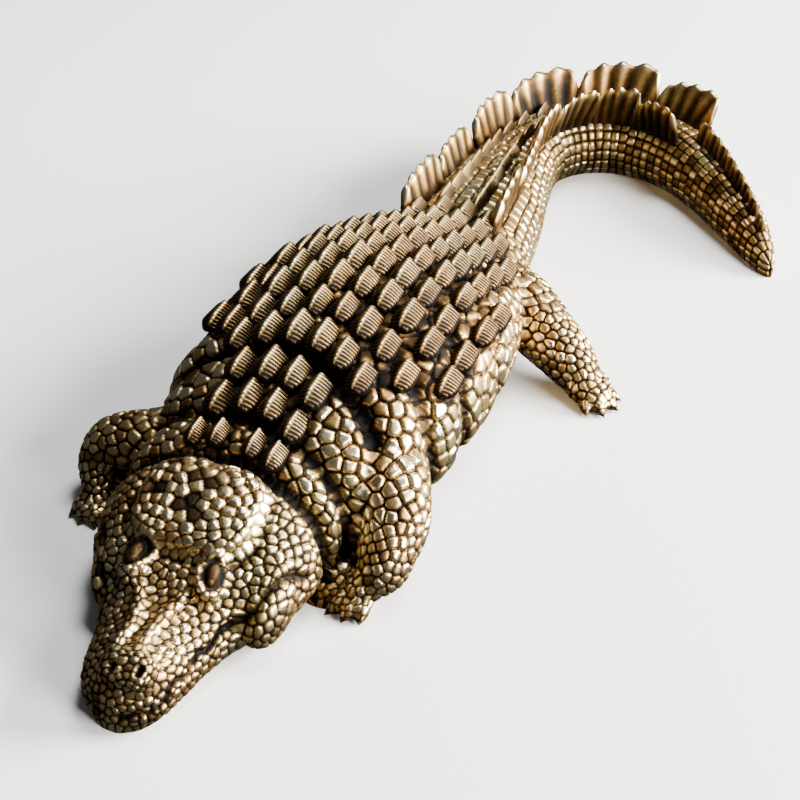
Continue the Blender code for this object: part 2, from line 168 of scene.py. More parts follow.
# Number of toes on a foot and the angle they spread over, in degrees
TOES = {"front": (5, 95), "hind": (4, 80)}
# Size of a palm, as a share of the radius of the last joint
PALMS = {"front": 1.00, "hind": 1.30}

# Lumps of the head, and the low webs inside the forelegs: share of the spine, offset and
# level of the middle, half sizes across, along and up, then roundness; offsets and half
# widths are shares of body width, the rest shares of body height
LUMPS = [
    (0.016, 0.028, 0.275, 0.084, 0.090, 0.072, 0.6),
    (0.078, 0.120, 0.400, 0.046, 0.140, 0.075, 1.0),
    (0.078, -0.120, 0.400, 0.046, 0.140, 0.075, 1.0),
    (0.096, 0.262, 0.230, 0.084, 0.270, 0.175, 1.0),
    (0.096, -0.225, 0.230, 0.078, 0.270, 0.175, 1.0),
    (0.115, 0.000, 0.520, 0.192, 0.250, 0.110, 0.60),
    (0.156, 0.350, 0.020, 0.130, 0.240, 0.120, 1.0),
    (0.160, -0.440, 0.020, 0.110, 0.180, 0.120, 1.0),
]
# Two low ridges along the snout: share of the spine, offset as a share of body width
SNOUT_RIDGE = [(0.024, 0.030), (0.045, 0.036), (0.066, 0.070)]

# Mouth line of the left side, as on the photograph: share of the spine, side and level in
# mm; from its end the line runs as a channel over the bulge of the jaw
MOUTH = [(0.001, 0.6, 1.5), (0.007, 2.8, 1.8), (0.014, 3.6, 2.5), (0.022, 3.9, 3.0),
         (0.034, 4.2, 3.2), (0.047, 4.7, 3.6), (0.056, 5.1, 3.9), (0.066, 5.9, 4.1)]
CHANNEL = [(0.066, 5.9, 4.1), (0.074, 7.0, 5.0), (0.082, 7.7, 6.0), (0.090, 8.2, 6.35),
           (0.100, 8.9, 6.1), (0.109, 9.4, 4.8)]
JAW_BULGE = [(0.071, 7.6, 4.0), (0.079, 8.4, 4.7), (0.090, 9.1, 4.6), (0.103, 9.3, 4.2)]
# The right side's lines: their side as a share of the left side's
RIGHT_SIDE = -0.94
# Rise and fall of the mouth line in mm, and the share of the spine that one wave takes
MOUTH_WAVE = 0.25
MOUTH_WAVE_LENGTH = 0.019

# Rows of keeled shields: share of the spine on the back, shields on each side
SHIELD_ROWS = [
    (0.186, 2), (0.207, 2),
    (0.236, 3), (0.262, 4), (0.288, 5), (0.314, 5), (0.340, 5), (0.366, 5),
    (0.392, 4), (0.417, 4), (0.442, 3), (0.467, 2),
]
# Outer shields stand further forward: how much, at which share of body width, and at most
ROW_BEND = (0.023, 0.35, 0.034)
NAPE_SHIELDS = [(0.159, 0.065), (0.157, 0.142)]
# Turn of the outer shields, rear ends away from the middle: degrees at a quarter of the
# body width
SHIELD_SPLAY = 20

# Tail keels behind the last rows of shields: shares of the spine at the first and the
# last, how many on each side, and their turn from the middle of the back
KEELS = (0.492, 0.700, 9, 0.032)

# Crest blades of the tail: share of the spine, length as a share of the spine,
# height as a share of the crest height
CREST = [
    (0.496, 0.076, 0.80), (0.572, 0.070, 0.72), (0.645, 0.066, 0.92),
    (0.708, 0.060, 1.00), (0.765, 0.056, 1.12), (0.818, 0.050, 1.00),
]
# Stance of the crest: turn from the middle of the back, extra turn of every second
# pair, and how far the blades rise straight up instead of outward
STANCE = (0.085, 0.006, 0.45)
# Leaf outline of a blade: place along it, height, and how far the top leans back
LEAF = [
    (-0.50, 0.36, 0.00), (-0.32, 0.84, 0.02), (0.00, 0.98, 0.09), (0.28, 1.00, 0.26),
    (0.48, 0.44, 0.11),
]
# Single row behind the crest: shares of the spine at the first and the last, how many
TEETH = (0.862, 0.968, 8)

# Scales of the skin: shares of the spine, and the size of a scale there in mm
SCALE_STATIONS = [0.00, 0.03, 0.085, 0.10, 0.135, 0.152, 0.20, 0.30, 0.42, 0.50, 0.60, 0.80,
                  1.00]
SCALE_SIZES = [0.66, 0.72, 0.78, 0.88, 0.98, 1.35, 1.55, 1.80, 1.70, 1.45, 1.35, 1.20, 0.90]
# The same down a leg, then sizes in mm on the skull plate, over the jaw and on the toes
LEG_STATIONS = [0.0, 0.35, 0.7, 1.0]
LEG_SIZES = [1.45, 1.15, 0.92, 0.72]
TABLE_SIZE, TABLE_UNEVEN, TABLE_WAVES = 1.12, 0.25, (1900, 2300)
JAW_SIZE, TOE_SIZE = 1.15, 0.62
# Neat rows of the tail: first and last share, how far a row reaches round it, and the
# length of a scale as a share of its width
TAIL_ROWS_FIRST, TAIL_ROWS_LAST = 0.480, 0.995
TAIL_ROW_REACH = (-0.13, 0.63)
TAIL_ROW_POINTS = 200
TAIL_SCALE_LONG = 1.25
# Relief of a scale in mm: half its groove, softness of its corners, how wide it rounds
# off (share of its size, least, most), its depth (share, most) and its uneven height
GROOVE_HALF = 0.05
CORNER_SOFT = 0.05
ROUNDING, ROUNDING_LEAST, ROUNDING_MOST = 0.23, 0.14, 0.36
DEPTH_SHARE, DEPTH_MOST = 0.30, 0.42
UNEVEN_DEPTH = 0.07
# Skull plate: its row among the lumps, how square its outline is, and its lowest level as
# a share of body height
TABLE_LUMP, TABLE_SQUARE, TABLE_LOWEST = 5, 3.2, 0.42
FAR_OUT = 9.0
# Half width of the painted shade line in a fold, metres
FOLD_SHADE = 0.00062
# How far the relief stays inside the box of the solid, metres
INSIDE = np.array([0.00001, 0.00001, 0.00001])
# Share of the spine whose piece a leg belongs to
LEG_HOME = {"front": 0.20, "hind": 0.44}
# Eyes: share of the spine, side in mm, length and width in mm, tilt in degrees
EYES = [(0.080, 3.6, 2.9, 2.0, 25), (0.081, -3.0, 2.9, 2.0, 25)]
# Nostrils: share of the spine and side in mm, then their length and width in mm
NOSTRILS = [(0.0130, -0.10), (0.0150, 1.75)]
NOSTRIL_LENGTH, NOSTRIL_WIDTH = 1.05, 0.74
# Rings along a carved shield, ribs on a shield, and ribs on a long and a short crest blade
SHIELD_STATIONS = 37
SHIELD_RIBS = 9
BLADE_RIBS, TOOTH_RIBS = 5, 2
# Colours of the brass from its recesses and its painted shade to its heights
PATINA_AND_SHADE_DARK = (0.003, 0.002, 0.0015, 1)
PATINA_BROWN = (0.055, 0.031, 0.011, 1)
PATINA_GOLD = (0.270, 0.168, 0.062, 1)
PATINA_PALE = (0.620, 0.470, 0.235, 1)
PATINA_BRIGHT = (0.900, 0.790, 0.540, 1)

# View of the photograph: degrees, metres from the place aimed at, sensor and lens in mm
AZIMUTH, ELEVATION = 22.5, 36.0
AIM = (0.0022, 0.0025, 0.0)
DISTANCE = 0.140
SENSOR, LENS = 36.0, 63.0
# Softboxes: name, metres to the right, toward the camera and up, width and height, watts,
# colour
WARM_LIGHT = (1.0, 0.98, 0.93)
SOFTBOXES = [
    ("key", 0.38, -0.04, 0.14, (0.20, 0.24), 13.0, WARM_LIGHT),
    ("top", 0.12, -0.10, 0.40, (0.16, 0.14), 2.2, (1, 1, 1)),
    ("fill", 0.34, 0.26, 0.20, (0.20, 0.20), 5.5, WARM_LIGHT),
]
FLOOR_HALF = 3
PAPER_COLOR, PAPER_ROUGHNESS = (0.86, 0.86, 0.86, 1), 0.9
STUDIO_COLOR, STUDIO_STRENGTH = (0.55, 0.56, 0.58, 1), 0.11

rng = np.random.default_rng(7)
picker = random.Random(5)


# Smooth curve through one column of a table, for many places at once
def along_table(rows, column, at):
    keys = np.array([row[0] for row in rows], float)
    values = np.array([row[column] for row in rows], float)
    at = np.asarray(at, float)
    span = np.diff(keys)
    slope = np.diff(values) / span
    tangent = np.zeros(len(keys))
    before, after = slope[:-1], slope[1:]
    both = before * after > 0
    tangent[1:-1][both] = 2 * before[both] * after[both] / (before[both] + after[both])
    tangent[0], tangent[-1] = slope[0], slope[-1]
    index = np.clip(np.searchsorted(keys, at) - 1, 0, len(span) - 1)
    part = np.clip((at - keys[index]) / span[index], 0, 1)
    rest = 1 - part
    value = (values[index] * (1 + 2 * part) * rest ** 2
             + values[index + 1] * part ** 2 * (3 - 2 * part))
    return value + span[index] * part * rest * (tangent[index] * rest - tangent[index + 1] * part)


STATIONS = np.linspace(0, 1, 1001)
HEADING = np.radians(along_table(HEADINGS, 1, STATIONS))
MIDDLE = (HEADING[1:] + HEADING[:-1]) / 2
STEP = SPINE_LENGTH / 1000
SPINE_X = np.concatenate([[0], np.cumsum(np.sin(MIDDLE) * STEP)])
SPINE_Y = np.concatenate([[0], np.cumsum(np.cos(MIDDLE) * STEP)])
START = round(ORIGIN_SHARE * 1000)
SPINE_X = SPINE_X - SPINE_X[START]
SPINE_Y = SPINE_Y - SPINE_Y[START]


def beside(share, offset, level):
    share = np.clip(np.asarray(share, float), 0, 1)
    angle = np.interp(share, STATIONS, HEADING)
    x = np.interp(share, STATIONS, SPINE_X) + np.cos(angle) * offset
    y = np.interp(share, STATIONS, SPINE_Y) - np.sin(angle) * offset
    return np.stack(np.broadcast_arrays(x, y, level), -1)


def power(value, exponent):
    return np.sign(value) * np.abs(value) ** exponent


def groove_depth(share, turn):
    angle = turn * 2 * np.pi
    high = np.sin(angle)
    depth = np.zeros(np.broadcast(share, turn).shape)
    for top, belly, strength, across in FOLDS:
        middle = np.where(high > 0, belly + (top - belly) * high ** 2, belly)
        gap = (share - middle) * SPINE_LENGTH / FOLD_WIDTH
        weight = 1.0 if across else np.minimum(np.abs(np.cos(angle)) * 1.5, 1.0)
        depth = depth + FOLD_DEPTH * strength * weight * np.exp(-gap * gap)
    return depth


# Skin of head, trunk and tail; turn 0 is its left side and 0.25 the middle of the back
def skin(share, turn):
    share, turn = np.broadcast_arrays(np.asarray(share, float), np.asarray(turn, float))
    angle = turn * 2 * np.pi
    depth = groove_depth(share, turn)
    half = along_table(PROFILE, 1, share) * BODY_WIDTH - depth
    top = along_table(PROFILE, 2, share) * BODY_HEIGHT - depth
    middle = along_table(PROFILE, 3, share) * BODY_HEIGHT
    across = power(np.cos(angle), 0.88)
    upward = power(np.sin(angle), 0.92)
    level = middle + np.where(upward > 0, top - middle, middle + SINK) * upward
    return beside(share, half * across, level)


def unit(vector):
    return vector / np.maximum(np.linalg.norm(vector, axis=-1, keepdims=True), 1e-12)


def skin_frame(share, turn):
    point = skin(share, turn)
    back = unit(skin(share + 0.004, turn) - skin(share - 0.004, turn))
    around = unit(skin(share, turn + 0.01) - skin(share, turn - 0.01))
    outward = unit(np.cross(back, around))
    centre = beside(share, 0.0, BODY_HEIGHT * 0.2)
    sign = np.where(((point - centre) * outward).sum(-1, keepdims=True) < 0, -1.0, 1.0)
    outward = outward * sign
    side = unit(np.cross(outward, back))
    return point, side, back, outward


def turn_for(share, offset):
    half = along_table(PROFILE, 1, share) * BODY_WIDTH
    across = np.minimum(np.abs(offset) / half, 0.98) ** (1 / 0.88)
    turn = np.arccos(across) / (2 * np.pi)
    return np.where(np.asarray(offset) > 0, turn, 0.5 - turn)


# Mesh from arrays
def new_mesh(name, points, faces):
    mesh = bpy.data.meshes.new(name)
    mesh.from_pydata([tuple(p) for p in points], [], [tuple(f) for f in faces])
    mesh.update()
    return mesh


def new_object(name, mesh):
    made = bpy.data.objects.new(name, mesh)
    bpy.context.scene.collection.objects.link(made)
    return made


# Rows of rings as one closed body: points and faces
def ring_body(rings):
    rings = np.asarray(rings, float)
    rows, sides = rings.shape[:2]
    faces = []
    for row in range(rows - 1):
        for corner in range(sides):
            after = (corner + 1) % sides
            low = row * sides
            faces.append((low + corner, low + after, low + sides + after, low + sides + corner))
    faces.append(tuple(reversed(range(sides))))
    faces.append(tuple(range((rows - 1) * sides, rows * sides)))
    return rings.reshape(-1, 3), faces


def gather(bodies):
    points, faces, start = [], [], 0
    for body_points, body_faces in bodies:
        points.append(body_points)
        faces += [tuple(index + start for index in face) for face in body_faces]
        start += len(body_points)
    return np.concatenate(points), faces


def tube_rings(joints, steps, sides):
    rows = [(index, *joint[0], joint[1]) for index, joint in enumerate(joints)]
    at = np.linspace(0, len(joints) - 1, (len(joints) - 1) * steps + 1)
    line = np.stack([along_table(rows, column, at) for column in (1, 2, 3)], -1)
    radius = along_table(rows, 4, at)
    forward = np.empty_like(line)
    forward[1:-1] = line[2:] - line[:-2]
    forward[0], forward[-1] = line[1] - line[0], line[-1] - line[-2]
    forward = unit(forward)
    side = unit(np.cross(forward, [0, 0, 1.0]))
    upward = np.cross(side, forward)
    angle = np.arange(sides) / sides * 2 * np.pi
    ring = line[:, None] + radius[:, None, None] * (side[:, None] * np.cos(angle)[None, :, None]
                                                    + upward[:, None] * np.sin(angle)[None, :, None])
    return ring, line, radius


def lump_rings(centre, side, back, upward, roundness):
    tilt = np.arange(1, 24) / 24 * np.pi
    angle = np.arange(40) / 40 * 2 * np.pi
    wide = np.sin(tilt) ** roundness
    level = -power(np.cos(tilt), roundness)
    across = power(np.cos(angle), roundness)
    along = power(np.sin(angle), roundness)
    flat = across[:, None] * side + along[:, None] * back
    return centre + level[:, None, None] * upward + wide[:, None, None] * flat[None]


def leg_joints(rows):
    joints = []
    for share, offset, level, radius in rows:
        joints.append((beside(share, offset * BODY_WIDTH, level * BODY_HEIGHT), radius * BODY_WIDTH))
    return joints


def foot_place(joints):
    foot, radius = joints[-1]
    heading = foot - joints[-2][0]
    heading[2] = 0.0
    return foot, radius, unit(heading)


def turned(direction, swing):
    c, s = math.cos(swing), math.sin(swing)
    return np.array([direction[0] * c - direction[1] * s,
                     direction[0] * s + direction[1] * c, 0.0])


def toe_rings(foot, foot_radius, heading, toes, spread, index):
    swing = (index / (toes - 1) - 0.5) * math.radians(spread)
    direction = turned(heading, swing)
    side = np.array([-direction[1], direction[0], 0.0])
    reach = foot_radius * 0.5 + TOE_LENGTH * (1.0 - 0.35 * abs(swing))
    stations = [(0, foot_radius * 0.3, 1.5, 1.00), (1, reach * 0.62, 1.30, 1.10),
                (2, reach, 1.0, 0.95), (3, reach + CLAW_LENGTH * 0.45, 0.75, 0.55),
                (4, reach + CLAW_LENGTH, 0.30, 0.16)]
    at = np.linspace(0, 4, 13)
    along, level, wide = (along_table(stations, column, at) for column in (1, 2, 3))
    angle = np.arange(12) / 12 * 2 * np.pi
    centre = np.array([foot[0], foot[1], 0.0]) + direction * along[:, None]
    centre[:, 2] += TOE_RADIUS * level
    radius = TOE_RADIUS * wide
    ring = centre[:, None] + side * radius[:, None, None] * np.cos(angle)[None, :, None]
    ring[..., 2] += radius[:, None] * np.sin(angle)[None]
    return ring


# Smooth flesh: head, trunk and tail with lumps, legs and toes, before any scales
def flesh_bodies():
    share = np.linspace(0, 1, 421)
    turn = np.arange(96) / 96
    bodies = [ring_body(skin(share[:, None], turn[None]))]
    for row in LUMPS:
        place, offset, level, across, length, height, roundness = row
        centre = beside(place, offset * BODY_WIDTH, level * BODY_HEIGHT)
        left = unit(beside(place, 0.01, 0.0) - beside(place, 0.0, 0.0))
        rise = unit(skin(place + 0.02, 0.25) - skin(place - 0.016, 0.25))
        upward = unit(np.cross(rise, left))
        upward = upward if upward[2] > 0 else -upward
        bodies.append(ring_body(lump_rings(centre, left * across * BODY_WIDTH,
                                           rise * length * BODY_HEIGHT,
                                           upward * height * BODY_HEIGHT, roundness)))
    for sign in (-1, 1):
        joints = []
        for place, offset in SNOUT_RIDGE:
            point = skin(place, turn_for(place, offset * BODY_WIDTH * sign))
            joints.append((point, SNOUT_RIDGE_RADIUS))
        bodies.append(ring_body(tube_rings(joints, 6, 12)[0]))
    for name, rows in LEGS.items():
        joints = leg_joints(rows)
        bodies.append(ring_body(tube_rings(joints, 12, 32)[0]))
        foot, radius, heading = foot_place(joints)
        side = np.array([-heading[1], heading[0], 0.0])
        palm = radius * PALMS[name.split()[0]]
        bodies.append(ring_body(lump_rings(foot + heading * radius * 0.15, side * palm, heading * palm,
                                           np.array([0, 0, 0.85]) * radius, 1.0)))
        toes, spread = TOES[name.split()[0]]
        for index in range(toes):
            bodies.append(ring_body(toe_rings(foot, radius, heading, toes, spread, index)))
    return bodies


def read_values(items, name, width, kind=float):
    values = np.empty(len(items) * width, kind)
    items.foreach_get(name, values)
    return values


# Bodies melted into one even skin
def melted_skin(bodies, cell):
    points, faces = gather(bodies)
    source = new_object("flesh source", new_mesh("flesh source", points, faces))
    melt = source.modifiers.new("melt", "REMESH")
    melt.mode = "VOXEL"
    melt.voxel_size = cell
    graph = bpy.context.evaluated_depsgraph_get()
    graph.update()
    mesh = bpy.data.meshes.new_from_object(source.evaluated_get(graph))
    found = read_values(mesh.vertices, "co", 3)
    quads = read_values(mesh.loops, "vertex_index", 1, np.int64).reshape(-1, 4)
    bpy.data.objects.remove(source, do_unlink=True)
    bpy.data.meshes.remove(mesh)
    return found.reshape(-1, 3), quads


class Skin:
    def __init__(self, points, quads):
        self.points = points
        self.quads = quads
        first = quads.reshape(-1)
        second = np.roll(quads, -1, axis=1).reshape(-1)
        self.a = np.concatenate([first, second])
        self.b = np.concatenate([second, first])
        self.degree = np.bincount(self.a, minlength=len(points)).astype(float)

    def average(self, values):
        if values.ndim == 1:
            return np.bincount(self.a, values[self.b], len(self.points)) / self.degree
        return np.stack([self.average(values[:, k]) for k in range(values.shape[1])], -1)

    def normals(self):
        points = self.points
        corner = points[self.quads]
        face = np.cross(corner[:, 2] - corner[:, 0], corner[:, 3] - corner[:, 1])
        total = np.zeros_like(points)
        for k in range(4):
            for axis in range(3):
                total[:, axis] += np.bincount(self.quads[:, k], face[:, axis], len(points))
        return unit(total)


# Scales of the tail: rings of neat rows
def tail_seeds():
    places, sizes = [], []
    share = TAIL_ROWS_FIRST
    spread = np.linspace(*TAIL_ROW_REACH, TAIL_ROW_POINTS)
    while share < TAIL_ROWS_LAST:
        size = float(np.interp(share, SCALE_STATIONS, SCALE_SIZES)) * MM
        ring = skin(np.full(TAIL_ROW_POINTS, share), spread)
        length = np.concatenate([[0], np.cumsum(np.linalg.norm(np.diff(ring, axis=0), axis=1))])
        count = max(int(length[-1] / size), 3)
        at = (np.arange(count) + 0.5 + rng.uniform(-0.06, 0.06, count)) / count
        places.append(skin(np.full(count, share), np.interp(at * length[-1], length, spread)))
        sizes.append(np.full(count, size))
        share += size * TAIL_SCALE_LONG / SPINE_LENGTH
    return np.concatenate(places), np.concatenate(sizes)


# Scales spread evenly but not in rows: seeds no closer than their size allows, then
# moved to the middle of their own patch
def even_seeds(points, size):
    order = rng.permutation(len(points))
    step = float(size.max())
    grid, chosen = {}, []
    cells = np.floor(points / step).astype(int)
    where, wide, cell_list = points.tolist(), (size * 0.80).tolist(), cells.tolist()
    around = [(i, j, k) for i in (-1, 0, 1) for j in (-1, 0, 1) for k in (-1, 0, 1)]
    for index in order.tolist():
        x, y, z = where[index]
        a, b, c = cell_list[index]
        limit = wide[index] ** 2
        free = True
        for i, j, k in around:
            for other in grid.get((a + i, b + j, c + k), ()):
                gap = (other[0] - x) ** 2 + (other[1] - y) ** 2 + (other[2] - z) ** 2
                if gap < limit:
                    free = False
                    break
            if not free:
                break
        if free:
            grid.setdefault((a, b, c), []).append((x, y, z))
            chosen.append(index)
    seeds = points[chosen]
    for _ in range(2):
        nearest = nearest_seeds(points, seeds, 1)[:, 0]
        total = np.maximum(np.bincount(nearest, minlength=len(seeds)), 1)
        middle = [np.bincount(nearest, points[:, k], len(seeds)) / total for k in range(3)]
        seeds = np.stack(middle, -1)
    return seeds, size[chosen]


def nearest_seeds(points, seeds, count):
    tree = KDTree(len(seeds))
    for index, seed in enumerate(seeds.tolist()):
        tree.insert(seed, index)
    tree.balance()
    found = np.empty((len(points), count), np.int64)
    for index, point in enumerate(points.tolist()):
        near = tree.find_n(point, count)
        for k in range(count):
            found[index, k] = near[k][1]
    return found


# Gap from each point to a tube along a line, and how far along the line it lies
def line_distance(points, line, radius):
    best = np.full(len(points), 1e9)
    place = np.zeros(len(points))
    last = len(line) - 1
    for index in range(last):
        start, step = line[index], line[index + 1] - line[index]
        part = np.clip(((points - start) @ step) / (step @ step), 0, 1)
        gap = np.linalg.norm(points - start - part[:, None] * step, axis=1)
        gap -= radius[index] * (1 - part) + radius[index + 1] * part
        place = np.where(gap < best, (index + part) / last, place)
        best = np.minimum(best, gap)
    return best, place


def spine_place(points):
    share = np.empty(len(points))
    spine = np.stack([SPINE_X, SPINE_Y], -1)[::2].astype(np.float32)
    flat = points[:, :2].astype(np.float32)
    for low in range(0, len(points), 20000):
        part = flat[low:low + 20000]
        gap = ((part[:, None] - spine[None]) ** 2).sum(-1)
        share[low:low + 20000] = STATIONS[::2][gap.argmin(1)]
    angle = np.interp(share, STATIONS, HEADING)
    x = points[:, 0] - np.interp(share, STATIONS, SPINE_X)
    y = points[:, 1] - np.interp(share, STATIONS, SPINE_Y)
    return share, x * np.cos(angle) - y * np.sin(angle)


def smoothstep(low, high, value):
    part = np.clip((value - low) / (high - low), 0, 1)
    return part * part * (3 - 2 * part)


# Ease the melted skin and fill the creases where bodies meet
def soften(flesh):
    for _ in range(4):
        flesh.points = flesh.points * 0.5 + flesh.average(flesh.points) * 0.5
    for _ in range(10):
        normal = flesh.normals()
        pull = flesh.average(flesh.points) - flesh.points
        lift = (pull * normal).sum(1)
        flesh.points = flesh.points + np.where(lift > 0, 0.6, 0.0)[:, None] * pull


# Gap from each point to the nearest toe, and how far out on the toe it lies
def toe_places(points):
    best = np.full(len(points), 1e9)
    place = np.zeros(len(points))
    for name, rows in LEGS.items():
        foot, foot_radius, heading = foot_place(leg_joints(rows))
        toes, spread = TOES[name.split()[0]]
        for index in range(toes):
            line = toe_rings(foot, foot_radius, heading, toes, spread, index).mean(1)
            gap, part = line_distance(points, line, np.full(len(line), TOE_RADIUS))
            place = np.where(gap < best, part, place)
            best = np.minimum(best, gap)
    return best, place


# Line through places on the head, given by share, side and level in mm
def head_line(points, rows, sign, wave=0.0):
    rows = np.array(rows, float)
    at = np.linspace(0, len(rows) - 1, 60)
    share, side, level = (np.interp(at, np.arange(len(rows)), rows[:, k]) for k in range(3))
    side = side * (1.0 if sign > 0 else RIGHT_SIDE)
    level = level + wave * np.sin(share * 2 * np.pi / MOUTH_WAVE_LENGTH)
    line = beside(share, side * MM, level * MM)
    laid = points[nearest_seeds(line, points, 1)[:, 0]]
    laid[1:-1] = (laid[:-2] + laid[1:-1] * 2 + laid[2:]) / 4
    return laid


# Size of a scale at each point of the skin
def scale_sizes(points, share, side, leg_gap, leg_place, toe):
    size = np.interp(share, SCALE_STATIONS, SCALE_SIZES)
    top = np.exp(-(side / (1.7 * MM)) ** 2) * (share > 0.02) * (share < 0.066)
    size = size * (1 - 0.15 * top)
    uneven = np.sin(points[:, 0] * TABLE_WAVES[0]) * np.sin(points[:, 1] * TABLE_WAVES[1])
    size = np.where(table_place(points) < 0.92, TABLE_SIZE + TABLE_UNEVEN * uneven, size)
    leg = np.interp(leg_place, LEG_STATIONS, LEG_SIZES)
    blend = smoothstep(0.2, 0.5, leg_place) * (1 - smoothstep(0.1, 0.7, leg_gap / MM))
    size = size * (1 - blend) + leg * blend
    bulge = np.zeros(len(points))
    for sign in (-1, 1):
        line = head_line(points, JAW_BULGE, sign)
        gap = line_distance(points, line, np.zeros(len(line)))[0] / MM
        bulge = np.maximum(bulge, 1 - smoothstep(1.2, 1.7, gap))
    size = size * (1 - bulge) + JAW_SIZE * bulge
    return (size * (1 - toe) + TOE_SIZE * toe) * MM, bulge


# Depth of the folds at points of the trunk, 1 at the bottom of a fold; it sinks each fold and sets its
# painted shade
def fold_depth(points, share, side):
    half = along_table(PROFILE, 1, share) * BODY_WIDTH
    flat = np.clip(np.abs(side) / half, 0, 1)
    depth = np.zeros(len(points))
    for top, belly, strength, across in FOLDS:
        middle = belly + (top - belly) * (1 - flat ** 2)
        weight = strength if across else strength * np.minimum(flat * 1.5, 1.0)
        gap = (share - middle) * SPINE_LENGTH / FOLD_SHADE
        depth = np.maximum(depth, weight * np.exp(-gap * gap))
    return depth


# Where a point lies on the bony plate of the skull: 1 at its rim, less inside
def table_place(points):
    share, offset, _, across, length, _, _ = LUMPS[TABLE_LUMP]
    centre = beside(share, offset * BODY_WIDTH, 0.0)
    left = unit(beside(share, 0.01, 0.0) - beside(share, 0.0, 0.0))
    back = np.array([-left[1], left[0], 0.0])
    gap = points - centre
    first = np.abs(gap @ left) / (across * BODY_WIDTH * 1.03)
    second = np.abs(gap @ back) / (length * BODY_HEIGHT * 1.03)
    level = (first ** TABLE_SQUARE + second ** TABLE_SQUARE) ** (1 / TABLE_SQUARE)
    return np.where(points[:, 2] > BODY_HEIGHT * TABLE_LOWEST, level, FAR_OUT)


# Gap from each point to the nearest leg, how far down it lies, and the leg's home
def leg_places(points):
    best = np.full(len(points), 1e9)
    place = np.zeros(len(points))
    home = np.zeros(len(points))
    for name, rows in LEGS.items():
        _, line, radius = tube_rings(leg_joints(rows), 6, 8)
        gap, part = line_distance(points, line, radius)
        closer = gap < best
        place = np.where(closer, part, place)
        home = np.where(closer, LEG_HOME[name.split()[0]], home)
        best = np.minimum(best, gap)
    return best, place, home


# Skull plate: uneven pitted scales inside, a smooth rim, and a moat round it
def carve_table(points, chance, dome, drop, polish_and_shade):
    table = table_place(points)
    inside = 1 - smoothstep(0.80, 0.90, table)
    pit = inside * (chance < 0.22)
    drop = drop + inside * ((1 - chance) * dome * 0.36 + (1 - dome) * 0.22) * MM
    polish_and_shade = polish_and_shade + inside * 0.06 - pit * 0.45
    rim = np.exp(-((table - 0.97) / 0.06) ** 2)
    drop = drop * (1 - 0.6 * rim)
    polish_and_shade = polish_and_shade + 0.30 * rim
    moat = np.exp(-((table - 1.11) / 0.05) ** 2)
    return drop + moat * 0.22 * MM, polish_and_shade - moat * 0.35


# Painted shadow on the slightly sunken ground under and round each shield
def sink_and_shade_seats(points, drop, polish_and_shade):
    for place, offset, length, width, _ in shield_places():
        seat, across, back, outward = shield_frame(place, offset)
        gap = points - seat
        first = (gap @ back) / (length * 0.60)
        second = (gap @ across) / (width * 0.66)
        shade = 1 - smoothstep(0.80, 1.20, np.sqrt(first ** 2 + second ** 2))
        shade = shade * (np.abs(gap @ outward) < 3 * MM)
        # Painted shadow: the polish falls to a quarter under and round the shield
        polish_and_shade = polish_and_shade * (1 - 0.75 * shade)
        drop = drop + shade * 0.12 * MM
    return drop, polish_and_shade
